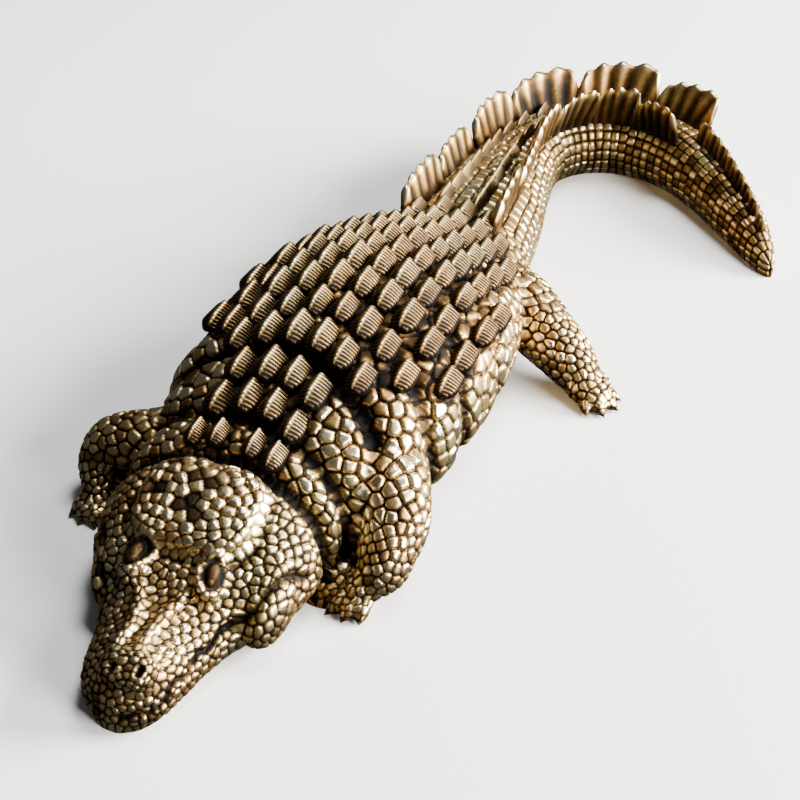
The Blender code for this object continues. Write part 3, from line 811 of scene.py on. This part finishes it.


# Carve every scale and line into the skin: the wear with painted shade laid into it, the
# chance of each point's scale, and the share of the spine whose piece each face belongs to
def carve(flesh):
    soften(flesh)
    points = flesh.points
    normal = flesh.normals()
    # Large hollows of the skin, darkened below as painted shade together with dark patina
    soft = points.copy()
    for _ in range(60):
        soft = soft * 0.4 + flesh.average(soft) * 0.6
    hollow = ((soft - points) * normal).sum(1) / MM
    share, side = spine_place(points)
    leg_gap, leg_place, leg_home = leg_places(points)
    toe_gap, toe_place = toe_places(points)
    toe = (1 - smoothstep(0.05, 0.45, toe_gap / MM)) * smoothstep(0.25, 0.45, toe_place)
    on_leg = ((leg_gap < 0.3 * MM) & (leg_place > 0.2)) | (toe_gap < 0.35 * MM)
    sizes_here, bulge = scale_sizes(points, share, side, leg_gap, leg_place, toe)
    loose = ((share < TAIL_ROWS_FIRST) | on_leg) & (points[:, 2] > 0.2 * MM)
    sample = np.flatnonzero(loose)[::3]
    seeds, sizes = even_seeds(points[sample], sizes_here[sample])
    rows, row_sizes = tail_seeds()
    seeds = np.concatenate([seeds, rows])
    sizes = np.concatenate([sizes, row_sizes])
    near = nearest_seeds(points, seeds, 3)
    distance = [np.linalg.norm(points - seeds[near[:, k]], axis=1) for k in range(3)]
    size = sizes[near[:, 0]]
    edges = []
    for k in (1, 2):
        apart = np.linalg.norm(seeds[near[:, 0]] - seeds[near[:, k]], axis=1) + 1e-9
        edges.append((distance[k] ** 2 - distance[0] ** 2) / (2 * apart) / MM)
    edge = -CORNER_SOFT * np.log(np.exp(-edges[0] / CORNER_SOFT) + np.exp(-edges[1] / CORNER_SOFT))
    reach = np.clip(size / MM * ROUNDING, ROUNDING_LEAST, ROUNDING_MOST)
    rise = np.clip((edge - GROOVE_HALF) / reach, 0, 1)
    dome = np.sqrt(np.clip(1 - (1 - rise) ** 2, 0, 1))
    chance = rng.uniform(0, 1, len(seeds))[near[:, 0]]
    depth = np.minimum(size * DEPTH_SHARE, DEPTH_MOST * MM)
    shallow = np.exp(-((side - 0.5 * MM) / (1.6 * MM)) ** 2) * smoothstep(0.02, 0.03, share)
    shallow = shallow * (1 - smoothstep(0.055, 0.068, share)) * ~on_leg
    depth = depth * (1 - 0.42 * shallow) * (1 - 0.70 * toe) * (1 - 0.30 * bulge)
    drop = depth * (1 - dome) + (1 - chance) * UNEVEN_DEPTH * MM * dome
    polish_and_shade = smoothstep(0.14, 0.92, dome) * (0.57 + 0.43 * chance)
    polish_and_shade = polish_and_shade * (1 - 0.25 * shallow) + 0.24 * shallow
    # Painted shade, together with dark patina, in the large hollows and where legs, lumps and body
    # meet
    polish_and_shade = polish_and_shade - smoothstep(0.05, 0.40, hollow) * 0.55
    # Each fold sinks a little deeper, and its bottom is painted dark as shade
    fold = fold_depth(points, share, side) * ~on_leg * (points[:, 2] > 1.5 * MM)
    drop = drop * (1 - 0.4 * np.clip(fold, 0, 1)) + fold * 0.42 * MM
    polish_and_shade = polish_and_shade * (1 - np.clip(fold * 0.95, 0, 1))
    drop, polish_and_shade = carve_table(points, chance, dome, drop, polish_and_shade)
    drop, polish_and_shade = sink_and_shade_seats(points, drop, polish_and_shade)
    drop, polish_and_shade = carve_head(points, normal, drop, polish_and_shade)
    drop, polish_and_shade = carve_lines(points, drop, polish_and_shade)
    polish_and_shade = polish_and_shade * (1 - 0.28 * smoothstep(0.66, 0.82, share) * ~on_leg)
    claw = toe * smoothstep(0.72, 0.80, toe_place)
    polish_and_shade = polish_and_shade * (1 - 0.45 * claw) + 0.10 * toe
    under = smoothstep(0.05 * MM, 0.6 * MM, points[:, 2])
    flesh.points = points - normal * (drop * under)[:, None]
    flesh.points[:, 2] = np.maximum(flesh.points[:, 2], 0.0)
    half = along_table(PROFILE, 1, share) * BODY_WIDTH
    beside_neck = (share > 0.105) & (share < 0.20) & (np.abs(side) > half + 0.1 * MM)
    beside_neck = beside_neck & ((leg_gap < 2.5 * MM) | (share > 0.128))
    home = np.where(on_leg, leg_home, np.where(beside_neck, LEG_HOME["front"], share))
    total = np.maximum(np.bincount(near[:, 0], minlength=len(seeds)), 1)
    nearest_home = np.bincount(near[:, 0], home, len(seeds)) / total
    return np.clip(polish_and_shade, 0, 1), chance, nearest_home[near[flesh.quads[:, 0], 0]]


# Point of the skin straight out from a place, with its outward direction
def anchor(points, normal, share, side_mm):
    target, _, _, outward = skin_frame(share, turn_for(share, side_mm * MM))
    gap = points - target
    height = gap @ outward
    away = np.linalg.norm(gap - height[:, None] * outward, axis=1)
    away = away + np.where((height < -1.0 * MM) | (height > 3.0 * MM), 1.0, 0.0)
    index = int(away.argmin())
    return points[index], unit(normal[index] + outward)


# Oval gap from an anchor: below 1 inside the oval, 1 on it
def oval(points, centre, along, across, length, width):
    offset = points - centre
    return np.sqrt((offset @ along / (length / 2)) ** 2 + (offset @ across / (width / 2)) ** 2)


# Eyes under heavy lids, and the nostrils
def carve_head(points, normal, drop, polish_and_shade):
    forward = np.array([0.0, -1.0, 0.0])
    for place, side_mm, length, width, tilt in EYES:
        centre, outward = anchor(points, normal, place, side_mm)
        along = turned(forward, math.radians(tilt) * math.copysign(1.0, side_mm))
        along = unit(along - outward * (along @ outward))
        across = np.cross(outward, along)
        gap = oval(points, centre, along, across, length * MM, width * MM)
        near = np.abs((points - centre) @ outward) < 2.2 * MM
        smooth = near * (1 - smoothstep(0.95, 1.25, gap))
        drop = drop * (1 - 0.85 * smooth)
        inward = np.array([-math.copysign(1.0, side_mm), 0.0, 0.0])
        over = (points - centre) @ inward / (np.linalg.norm(points - centre, axis=1) + 1e-6)
        heavy = 0.55 + 0.45 * over
        lid = np.exp(-((gap - 1.22) / 0.20) ** 2) * near
        socket = near * (1 - smoothstep(0.85, 1.08, gap))
        ball = near * np.sqrt(np.clip(1 - (gap / 0.80) ** 2, 0, 1))
        drop = drop + (socket * 0.46 - ball * 0.42 - lid * (0.02 + 0.26 * heavy)) * MM
        slit = near * np.exp(-((gap - 0.92) / 0.11) ** 2)
        polish_and_shade = polish_and_shade * (1 - socket) + socket * ball * 0.28 - slit * 0.4 + lid * (0.02 + 0.42 * heavy)
    for place, side_mm in NOSTRILS:
        centre, outward = anchor(points, normal, place, side_mm)
        along = unit(forward - outward * (forward @ outward))
        across = np.cross(outward, along)
        gap = oval(points, centre, along, across, NOSTRIL_LENGTH * MM, NOSTRIL_WIDTH * MM)
        near = np.abs((points - centre) @ outward) < 1.5 * MM
        hole = near * (1 - smoothstep(0.45, 1.05, gap))
        drop = drop * (1 - near * (1 - smoothstep(1.0, 2.4, gap)) * 0.8)
        drop = drop + hole * 0.60 * MM
        polish_and_shade = polish_and_shade + near * np.exp(-((gap - 1.45) / 0.3) ** 2) * 0.2 - hole * 1.3
    return drop, polish_and_shade


# Mouth line along both lips, and the channel that runs from its end over the jaw
def carve_lines(points, drop, polish_and_shade):
    for sign in (-1, 1):
        line = head_line(points, MOUTH, sign, MOUTH_WAVE)
        gap = line_distance(points, line, np.zeros(len(line)))[0] / MM
        groove = np.exp(-(gap / 0.25) ** 2)
        drop = drop + groove * 0.42 * MM
        polish_and_shade = polish_and_shade - groove * 1.1
        line = head_line(points, CHANNEL, sign)
        gap = line_distance(points, line, np.zeros(len(line)))[0] / MM
        valley = np.exp(-(gap / 0.42) ** 2)
        drop = drop * (1 - 0.5 * valley) + valley * 0.52 * MM
        polish_and_shade = polish_and_shade * (1 - 0.75 * valley)
    return drop, polish_and_shade


# Shields of the back and nape: share of the spine, offset, length, width and height
def shield_places():
    places = []
    forward, reach, most = ROW_BEND
    for share, count in SHIELD_ROWS:
        for index in range(count):
            for sign in (-1, 1):
                offset = (index + 0.5) * SHIELD_PITCH * sign
                bend = forward * (abs(offset) / (reach * BODY_WIDTH)) ** 1.5
                places.append((share - min(bend, most), offset, SHIELD_LENGTH, SHIELD_PITCH,
                               SHIELD_HEIGHT * (1.0 - 0.04 * index)))
    for share, side_share in NAPE_SHIELDS:
        for sign in (-1, 1):
            places.append((share, side_share * BODY_WIDTH * sign, SHIELD_LENGTH * 0.75,
                           SHIELD_PITCH * 0.75, SHIELD_HEIGHT * 0.85))
    return places


# Frame of a shield on the back, turned so that its rear end points outward
def shield_frame(share, offset):
    point, side, back, outward = skin_frame(share, turn_for(share, offset))
    splay = -math.radians(SHIELD_SPLAY) * offset / (0.25 * BODY_WIDTH)
    turned_back = back * math.cos(splay) + side * math.sin(splay)
    return point, side * math.cos(splay) - back * math.sin(splay), turned_back, outward


# Keeled shield around the origin, one unit long, wide and high: a gable with a flat
# bright ridge, a rounded front, a steep rear and fine ribs down both sides
def shield_template():
    stations = np.linspace(-0.5, 0.5, SHIELD_STATIONS)
    sides = np.array([-1.0, -0.97, -0.80, -0.55, -0.28, -0.09, 0.09, 0.28, 0.55, 0.80, 0.97, 1.0])
    reach = np.abs(sides)
    rings, polish_and_shade = [], []
    for along in stations:
        front = np.clip((along + 0.5) / 0.38, 0, 1)
        wide = 0.5 * np.sqrt(1 - (1 - front) ** 2 * 0.90) * (1.0 - 0.12 * max(along, 0))
        high = (0.34 + 0.66 * front ** 0.7) * (0.86 + 0.24 * (along + 0.5))
        rear = np.clip((0.5 - along) / 0.04, 0, 1)
        high *= 0.72 + 0.28 * rear
        lean = along - 0.10 * reach
        rib = 0.5 + 0.5 * np.cos((lean + 0.5) * 2 * math.pi * SHIELD_RIBS)
        flank = smoothstep(0.12, 0.26, reach) * (1 - smoothstep(0.94, 1.0, reach))
        level = high * (1 - np.clip((reach - 0.09) / 0.91, 0, 1) ** 1.35 * 0.92)
        level = np.where(reach > 0.99, -0.55, level)
        level = level - flank * rib * 0.20
        rings.append(np.stack([sides * wide, np.full(len(sides), along), level], -1))
        ridge = 1 - smoothstep(0.10, 0.26, reach)
        ribbed = (1 - rib) ** 1.5 * 0.84 * (1 - smoothstep(0.97, 1.0, reach)) - 0.10
        shine = np.maximum(ridge, ribbed)
        polish_and_shade.append(shine * (0.62 + 0.28 * front) * rear)
    points, faces = ring_body(rings)
    mesh = new_mesh("shield template", points, faces)
    store(mesh, "polish_and_shade", np.concatenate(polish_and_shade))
    return new_object("shield_template", mesh)


def store(mesh, name, values):
    layer = mesh.attributes.get(name) or mesh.attributes.new(name, "FLOAT", "POINT")
    layer.data.foreach_set("value", np.asarray(values, np.float32))


# Seats for repeated carvings: a point each, with the way it faces and its size
def seats(name, rows):
    points = [row[0] for row in rows]
    mesh = bpy.data.meshes.new(name)
    mesh.from_pydata(points, [], [])
    facing = mesh.attributes.new("facing", "QUATERNION", "POINT")
    size = mesh.attributes.new("size", "FLOAT_VECTOR", "POINT")
    for index, (point, side, back, outward, scale) in enumerate(rows):
        facing.data[index].value = Matrix((side, back, outward)).transposed().to_quaternion()
        size.data[index].vector = scale
    return new_object(name, mesh)


def link(tree, first, second):
    tree.links.new(first, second)


# Named sockets of a tree: name, direction, kind and the value it starts with, if any
def add_sockets(tree, rows):
    for name, way, kind, value in rows:
        made = tree.interface.new_socket(name, in_out=way, socket_type="NodeSocket" + kind)
        if value is not None:
            made.default_value = value


# Tree that sets one carved template on every seat
def seating_tree():
    tree = bpy.data.node_groups.new("carvings on seats", "GeometryNodeTree")
    add_sockets(tree, [
        ("Seats", "INPUT", "Geometry", None), ("Template", "INPUT", "Object", None),
        ("Size", "INPUT", "Float", 1.0), ("Unevenness", "INPUT", "Float", 0.05),
        ("Seed", "INPUT", "Int", 3), ("Finish", "INPUT", "Material", None),
        ("Carvings", "OUTPUT", "Geometry", None)])
    nodes = tree.nodes
    source = nodes.new("NodeGroupInput")
    info = nodes.new("GeometryNodeObjectInfo")
    link(tree, source.outputs["Template"], info.inputs["Object"])
    facing = nodes.new("GeometryNodeInputNamedAttribute")
    facing.data_type = "QUATERNION"
    facing.inputs["Name"].default_value = "facing"
    size = nodes.new("GeometryNodeInputNamedAttribute")
    size.data_type = "FLOAT_VECTOR"
    size.inputs["Name"].default_value = "size"
    low = nodes.new("ShaderNodeMath")
    low.operation = "SUBTRACT"
    low.inputs[0].default_value = 1.0
    link(tree, source.outputs["Unevenness"], low.inputs[1])
    chance = nodes.new("FunctionNodeRandomValue")
    chance.data_type = "FLOAT"
    link(tree, low.outputs[0], chance.inputs[2])
    chance.inputs[3].default_value = 1.0
    link(tree, source.outputs["Seed"], chance.inputs["Seed"])
    grow = nodes.new("ShaderNodeMath")
    grow.operation = "MULTIPLY"
    link(tree, chance.outputs[1], grow.inputs[0])
    link(tree, source.outputs["Size"], grow.inputs[1])
    scale = nodes.new("ShaderNodeVectorMath")
    scale.operation = "SCALE"
    link(tree, size.outputs["Attribute"], scale.inputs[0])
    link(tree, grow.outputs[0], scale.inputs["Scale"])
    place = nodes.new("GeometryNodeInstanceOnPoints")
    link(tree, source.outputs["Seats"], place.inputs["Points"])
    link(tree, info.outputs["Geometry"], place.inputs["Instance"])
    link(tree, facing.outputs["Attribute"], place.inputs["Rotation"])
    link(tree, scale.outputs["Vector"], place.inputs["Scale"])
    real = nodes.new("GeometryNodeRealizeInstances")
    link(tree, place.outputs["Instances"], real.inputs["Geometry"])
    finish = nodes.new("GeometryNodeSetMaterial")
    link(tree, real.outputs["Geometry"], finish.inputs["Geometry"])
    link(tree, source.outputs["Finish"], finish.inputs["Material"])
    result = nodes.new("NodeGroupOutput")
    link(tree, finish.outputs["Geometry"], result.inputs["Carvings"])
    return tree


# Run the tree on its seats and keep the result as a plain mesh
def set_on_seats(name, tree, holder, template, material, unevenness, seed):
    run = holder.modifiers.new("carvings", "NODES")
    run.node_group = tree
    keys = {item.name: item.identifier for item in tree.interface.items_tree
            if item.in_out == "INPUT"}
    run[keys["Template"]] = template
    run[keys["Size"]] = 1.0
    run[keys["Unevenness"]] = unevenness
    run[keys["Seed"]] = seed
    run[keys["Finish"]] = material
    graph = bpy.context.evaluated_depsgraph_get()
    graph.update()
    mesh = bpy.data.meshes.new_from_object(holder.evaluated_get(graph))
    holder.modifiers.clear()
    holder.data = mesh
    holder.name = name
    return finish_mesh(holder, material)


def finish_mesh(made, material):
    mesh = made.data
    mesh.materials.clear()
    mesh.materials.append(material)
    mesh.polygons.foreach_set("material_index", np.zeros(len(mesh.polygons), np.int32))
    mesh.polygons.foreach_set("use_smooth", np.ones(len(mesh.polygons), bool))
    body = bmesh.new()
    body.from_mesh(mesh)
    bmesh.ops.recalc_face_normals(body, faces=body.faces)
    body.to_mesh(mesh)
    body.free()
    return made


# Crest blade along the tail: ribbed on both faces, thin and rounded at the top
def blade_body(share, turn, length, height, thickness, upright, ribs):
    columns, rows = 12 * ribs + 1, 11
    along = np.linspace(-0.50, 0.48, columns)
    at = np.minimum(share + along * length / SPINE_LENGTH, 0.995)
    root, side, back, outward = skin_frame(at, np.full(columns, turn))
    upward = unit(outward * (1 - upright) + np.array([0, 0, 1.0]) * upright)
    high = along_table(LEAF, 1, along)
    lean = along_table(LEAF, 2, along)
    rib = 0.5 + 0.5 * np.cos((along + 0.5) / 0.98 * 2 * np.pi * ribs)
    top = height * (high - 0.09 * rib)
    part = np.linspace(0, 1, rows)
    buried = 0.22 * height
    rings, polish_and_shade = [], []
    for column in range(columns):
        up = part ** 0.85
        rise = -buried + up[:, None] * (top[column] + buried)
        centre = root[column] + upward[column] * rise
        centre = centre + back[column] * (height * lean[column] * up ** 1.4)[:, None]
        edge = np.sqrt(np.clip(1 - ((part - 0.86) / 0.14).clip(0, 1) ** 2, 0, 1))
        thin = (1.0 - 0.45 * up * high[column]) * edge
        swell = 1.0 - 0.45 * rib[column] * smoothstep(0.05, 0.35, part)
        half = thickness * 0.5 * np.maximum(thin * swell, 0.05)
        left = centre + side[column] * half[:, None]
        right = centre - side[column] * half[:, None]
        rings.append(np.concatenate([left, right[::-1]]))
        shine = (0.22 + 0.48 * (1 - rib[column])) * (0.25 + 0.75 * part)
        shine = shine + 0.25 * smoothstep(0.85, 1.0, part)
        polish_and_shade.append(np.concatenate([shine, shine[::-1]]))
    points, faces = ring_body(rings)
    return points, faces, np.concatenate(polish_and_shade).clip(0, 1)


def gather_worn(name, bodies, material):
    points, faces = gather([(body[0], body[1]) for body in bodies])
    mesh = new_mesh(name, points, faces)
    store(mesh, "polish_and_shade", np.concatenate([body[2] for body in bodies]))
    store(mesh, "tint", np.concatenate([np.full(len(body[0]), picker.random()) for body in bodies]))
    return finish_mesh(new_object(name, mesh), material)


# Patina shared by every brass material: dark in the recesses and where shade is painted, worn bright
# on the heights
def patina_group():
    group = bpy.data.node_groups.new("brass patina", "ShaderNodeTree")
    add_sockets(group, [
        ("Polish and shade", "INPUT", "Float", None), ("Tint", "INPUT", "Float", None),
        ("Grain", "INPUT", "Float", 1.0), ("Color", "OUTPUT", "Color", None),
        ("Roughness", "OUTPUT", "Float", None), ("Metallic", "OUTPUT", "Float", None),
        ("Height", "OUTPUT", "Float", None)])
    nodes = group.nodes
    source = nodes.new("NodeGroupInput")
    result = nodes.new("NodeGroupOutput")
    place = nodes.new("ShaderNodeTexCoord")

    def noise(scale, detail):
        made = nodes.new("ShaderNodeTexNoise")
        made.inputs["Scale"].default_value = scale
        made.inputs["Detail"].default_value = detail
        link(group, place.outputs["Object"], made.inputs["Vector"])
        return made.outputs["Fac"]

    def math_node(operation, first, second, clamp=False):
        made = nodes.new("ShaderNodeMath")
        made.operation = operation
        made.use_clamp = clamp
        for socket, value in zip(made.inputs, (first, second)):
            if isinstance(value, (int, float)):
                socket.default_value = value
            else:
                link(group, value, socket)
        return made.outputs[0]

    blotch = noise(330.0, 3.0)
    grain = noise(5200.0, 4.0)
    patch = noise(120.0, 2.0)
    uneven = math_node("SUBTRACT", blotch, 0.5)
    fine = math_node("SUBTRACT", grain, 0.5)
    polish_and_shade_mix = math_node("ADD", source.outputs["Polish and shade"], math_node("MULTIPLY", uneven, 0.45))
    fine_part = math_node("MULTIPLY", math_node("MULTIPLY", fine, 0.35), source.outputs["Grain"])
    polish_and_shade_mix = math_node("ADD", polish_and_shade_mix, fine_part)
    spread = math_node("MULTIPLY", math_node("SUBTRACT", source.outputs["Tint"], 0.5), 0.20)
    polish_and_shade_mix = math_node("ADD", polish_and_shade_mix, spread, clamp=True)
    ramp = nodes.new("ShaderNodeValToRGB")
    stops = ramp.color_ramp.elements
    # The dark end colours the patina of the recesses and the painted shade
    stops[0].position, stops[0].color = 0.06, PATINA_AND_SHADE_DARK
    stops[1].position, stops[1].color = 0.96, PATINA_BRIGHT
    for position, color in ((0.27, PATINA_BROWN), (0.48, PATINA_GOLD), (0.72, PATINA_PALE)):
        stop = stops.new(position)
        stop.color = color
    link(group, polish_and_shade_mix, ramp.inputs["Fac"])
    warm = nodes.new("ShaderNodeMix")
    warm.data_type = "RGBA"
    warm.blend_type = "MULTIPLY"
    warm.inputs[0].default_value = 1.0
    hue = nodes.new("ShaderNodeValToRGB")
    ends = hue.color_ramp.elements
    ends[0].position, ends[0].color = 0.38, (1.0, 0.86, 0.70, 1)
    ends[1].position, ends[1].color = 0.62, (0.96, 1.0, 0.97, 1)
    link(group, patch, hue.inputs["Fac"])
    link(group, ramp.outputs["Color"], warm.inputs[6])
    link(group, hue.outputs["Color"], warm.inputs[7])
    link(group, warm.outputs[2], result.inputs["Color"])
    rough = nodes.new("ShaderNodeMapRange")
    rough.inputs["To Min"].default_value = 0.62
    rough.inputs["To Max"].default_value = 0.27
    link(group, polish_and_shade_mix, rough.inputs["Value"])
    link(group, math_node("ADD", rough.outputs["Result"], math_node("MULTIPLY", fine, 0.14)),
         result.inputs["Roughness"])
    metal = nodes.new("ShaderNodeMapRange")
    metal.inputs["From Max"].default_value = 0.35
    metal.inputs["To Min"].default_value = 0.85
    link(group, polish_and_shade_mix, metal.inputs["Value"])
    link(group, metal.outputs["Result"], result.inputs["Metallic"])
    pits = math_node("MULTIPLY", math_node("ADD", grain, math_node("MULTIPLY", blotch, 0.5)),
                     source.outputs["Grain"])
    link(group, pits, result.inputs["Height"])
    return group


def brass(name, group, grain):
    material = bpy.data.materials.new(name)
    material.use_nodes = True
    tree = material.node_tree
    shader = tree.nodes["Principled BSDF"]
    patina = tree.nodes.new("ShaderNodeGroup")
    patina.node_tree = group
    patina.inputs["Grain"].default_value = grain
    for attribute, socket in (("polish_and_shade", "Polish and shade"), ("tint", "Tint")):
        read = tree.nodes.new("ShaderNodeAttribute")
        read.attribute_name = attribute
        link(tree, read.outputs["Fac"], patina.inputs[socket])
    bump = tree.nodes.new("ShaderNodeBump")
    bump.inputs["Strength"].default_value = 0.35
    bump.inputs["Distance"].default_value = 0.00003
    link(tree, patina.outputs["Height"], bump.inputs["Height"])
    link(tree, patina.outputs["Color"], shader.inputs["Base Color"])
    link(tree, patina.outputs["Roughness"], shader.inputs["Roughness"])
    link(tree, patina.outputs["Metallic"], shader.inputs["Metallic"])
    link(tree, bump.outputs["Normal"], shader.inputs["Normal"])
    return material


# One closed piece of the skin: its faces, and a fan inside the body over each cut
def skin_piece(name, flesh, chosen, polish_and_shade, tint, material):
    quads = flesh.quads[chosen]
    used, flat = np.unique(quads, return_inverse=True)
    quads = flat.reshape(-1, 4)
    points = flesh.points[used]
    first = quads.reshape(-1)
    second = np.roll(quads, -1, axis=1).reshape(-1)
    count = len(points)
    key = first * count + second
    back_key = second * count + first
    open_side = ~np.isin(key, back_key)
    first, second = first[open_side], second[open_side]
    group = np.arange(count)
    changed = True
    while changed:
        low = np.minimum(group[first], group[second])
        before = group.copy()
        np.minimum.at(group, first, low)
        np.minimum.at(group, second, low)
        changed = bool((group != before).any())
    extra, faces, centres = [], quads.tolist(), {}
    for a, b in zip(first.tolist(), second.tolist()):
        root = int(group[a])
        if root not in centres:
            members = np.unique(first[group[first] == root])
            centres[root] = count + len(extra)
            extra.append(points[members].mean(0))
        faces.append([b, a, centres[root]])
    if extra:
        points = np.concatenate([points, np.array(extra)])
    mesh = bpy.data.meshes.new(name)
    mesh.from_pydata(points.tolist(), [], faces)
    mesh.update()
    fill = np.zeros(len(extra))
    store(mesh, "polish_and_shade", np.concatenate([polish_and_shade[used], fill]))
    store(mesh, "tint", np.concatenate([tint[used], fill]))
    made = new_object(name, mesh)
    mesh.materials.append(material)
    mesh.polygons.foreach_set("use_smooth", np.ones(len(mesh.polygons), bool))
    cut = set(zip(np.minimum(first, second).tolist(), np.maximum(first, second).tolist()))
    sharp = [tuple(sorted(edge.vertices)) in cut for edge in mesh.edges]
    layer = mesh.attributes.new("sharp_edge", "BOOLEAN", "EDGE")
    layer.data.foreach_set("value", sharp)
    return made


def seat_row(where, size):
    point, side, back, outward = where
    return point, Vector(side), Vector(back), Vector(outward), size


# Assemble the figurine
patina = patina_group()
skin_brass = brass("carved_skin_brass", patina, 0.8)
shield_brass = brass("shield_brass", patina, 0.6)
crest_brass = brass("crest_brass", patina, 0.7)

flesh = Skin(*melted_skin(flesh_bodies(), SKIN_CELL))
polish_and_shade, tint, region = carve(flesh)

pieces = []
for name, low, high in PIECE_CUTS:
    chosen = (region >= low) & (region < high)
    pieces.append(skin_piece(name, flesh, chosen, polish_and_shade, tint, skin_brass))

tree = seating_tree()
shield = shield_template()
rows = [seat_row(shield_frame(share, offset), (width, length, height))
        for share, offset, length, width, height in shield_places()]
pieces.append(set_on_seats("back_shields", tree, seats("shield seats", rows), shield,
                           shield_brass, 0.13, 4))
rows = []
first, last, count, apart = KEELS
for index in range(count):
    part = index / (count - 1)
    share = first + (last - first) * part
    shrink = 1.0 - 0.35 * part
    size = (SHIELD_PITCH * 0.60 * shrink, SHIELD_LENGTH * 0.95, SHIELD_HEIGHT * shrink)
    for sign in (-1, 1):
        rows.append(seat_row(skin_frame(share, 0.25 - sign * apart), size))
pieces.append(set_on_seats("tail_keels", tree, seats("keel seats", rows), shield,
                           shield_brass, 0.05, 9))
bpy.data.objects.remove(shield, do_unlink=True)

bodies = []
turn, extra, upright = STANCE
for index, (share, length, height) in enumerate(CREST):
    for sign in (-1, 1):
        place = 0.25 - sign * (turn + extra * (index % 2))
        bodies.append(blade_body(share, place, length * SPINE_LENGTH, CREST_HEIGHT * height,
                                 CREST_THICKNESS, upright, BLADE_RIBS))
first, last, count = TEETH
for index in range(count):
    part = index / (count - 1)
    share = first + (last - first) * part
    bodies.append(blade_body(share, 0.25, CREST_HEIGHT * (0.46 - 0.12 * part),
                             CREST_HEIGHT * (0.54 - 0.24 * part),
                             CREST_THICKNESS * (0.9 - 0.3 * part), 1.0, TOOTH_RIBS))
pieces.append(gather_worn("tail_crest", bodies, crest_brass))

# The relief keeps inside the size of the solid
low, high = (np.array(corner, float) for corner in size_at_load)
for piece in pieces:
    mesh = piece.data
    places = read_values(mesh.vertices, "co", 3).reshape(-1, 3)
    places = np.clip(places, low + INSIDE * [1, 1, 0], high - INSIDE)
    mesh.vertices.foreach_set("co", places.reshape(-1))
    mesh.update()

for piece in pieces:
    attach(piece, "root")
    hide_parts("crocodile")

# Floor
corners = [(FLOOR_HALF * x, FLOOR_HALF * y, 0) for x, y in ((-1, -1), (1, -1), (1, 1), (-1, 1))]
floor = new_object("floor", new_mesh("floor", corners, [(0, 1, 2, 3)]))
paper = bpy.data.materials.new("pale_paper")
paper.use_nodes = True
sheet = paper.node_tree.nodes["Principled BSDF"]
sheet.inputs["Base Color"].default_value = PAPER_COLOR
sheet.inputs["Roughness"].default_value = PAPER_ROUGHNESS
floor.data.materials.append(paper)
floor.visible_glossy = False

# Camera at the photograph's viewing angle
azimuth, elevation = math.radians(AZIMUTH), math.radians(ELEVATION)
view = Vector((-math.sin(azimuth) * math.cos(elevation), math.cos(azimuth) * math.cos(elevation),
               -math.sin(elevation)))
target = Vector(AIM)
camera = bpy.data.objects.new("camera", bpy.data.cameras.new("camera"))
bpy.context.scene.collection.objects.link(camera)
camera.location = target - view * DISTANCE
camera.rotation_euler = view.to_track_quat("-Z", "Y").to_euler()
camera.data.sensor_width = SENSOR
camera.data.lens = LENS
camera.data.clip_start = 0.001
bpy.context.scene.camera = camera


# Softboxes round the figurine, each aimed at it
def softbox(name, right, toward, up, size, power, color):
    light = bpy.data.lights.new(name, "AREA")
    light.shape = "RECTANGLE"
    light.size, light.size_y = size
    light.energy = power
    light.color = color
    made = bpy.data.objects.new(name, light)
    bpy.context.scene.collection.objects.link(made)
    right_way = Vector((math.cos(azimuth), math.sin(azimuth), 0.0))
    toward_way = Vector((math.sin(azimuth), -math.cos(azimuth), 0.0))
    made.location = right_way * right + toward_way * toward + Vector((0, 0, up))
    made.rotation_euler = (target - made.location).to_track_quat("-Z", "Y").to_euler()


for row in SOFTBOXES:
    softbox(*row)
world = bpy.data.worlds.new("studio")
world.use_nodes = True
backdrop = world.node_tree.nodes["Background"]
backdrop.inputs["Color"].default_value = STUDIO_COLOR
backdrop.inputs["Strength"].default_value = STUDIO_STRENGTH
bpy.context.scene.world = world
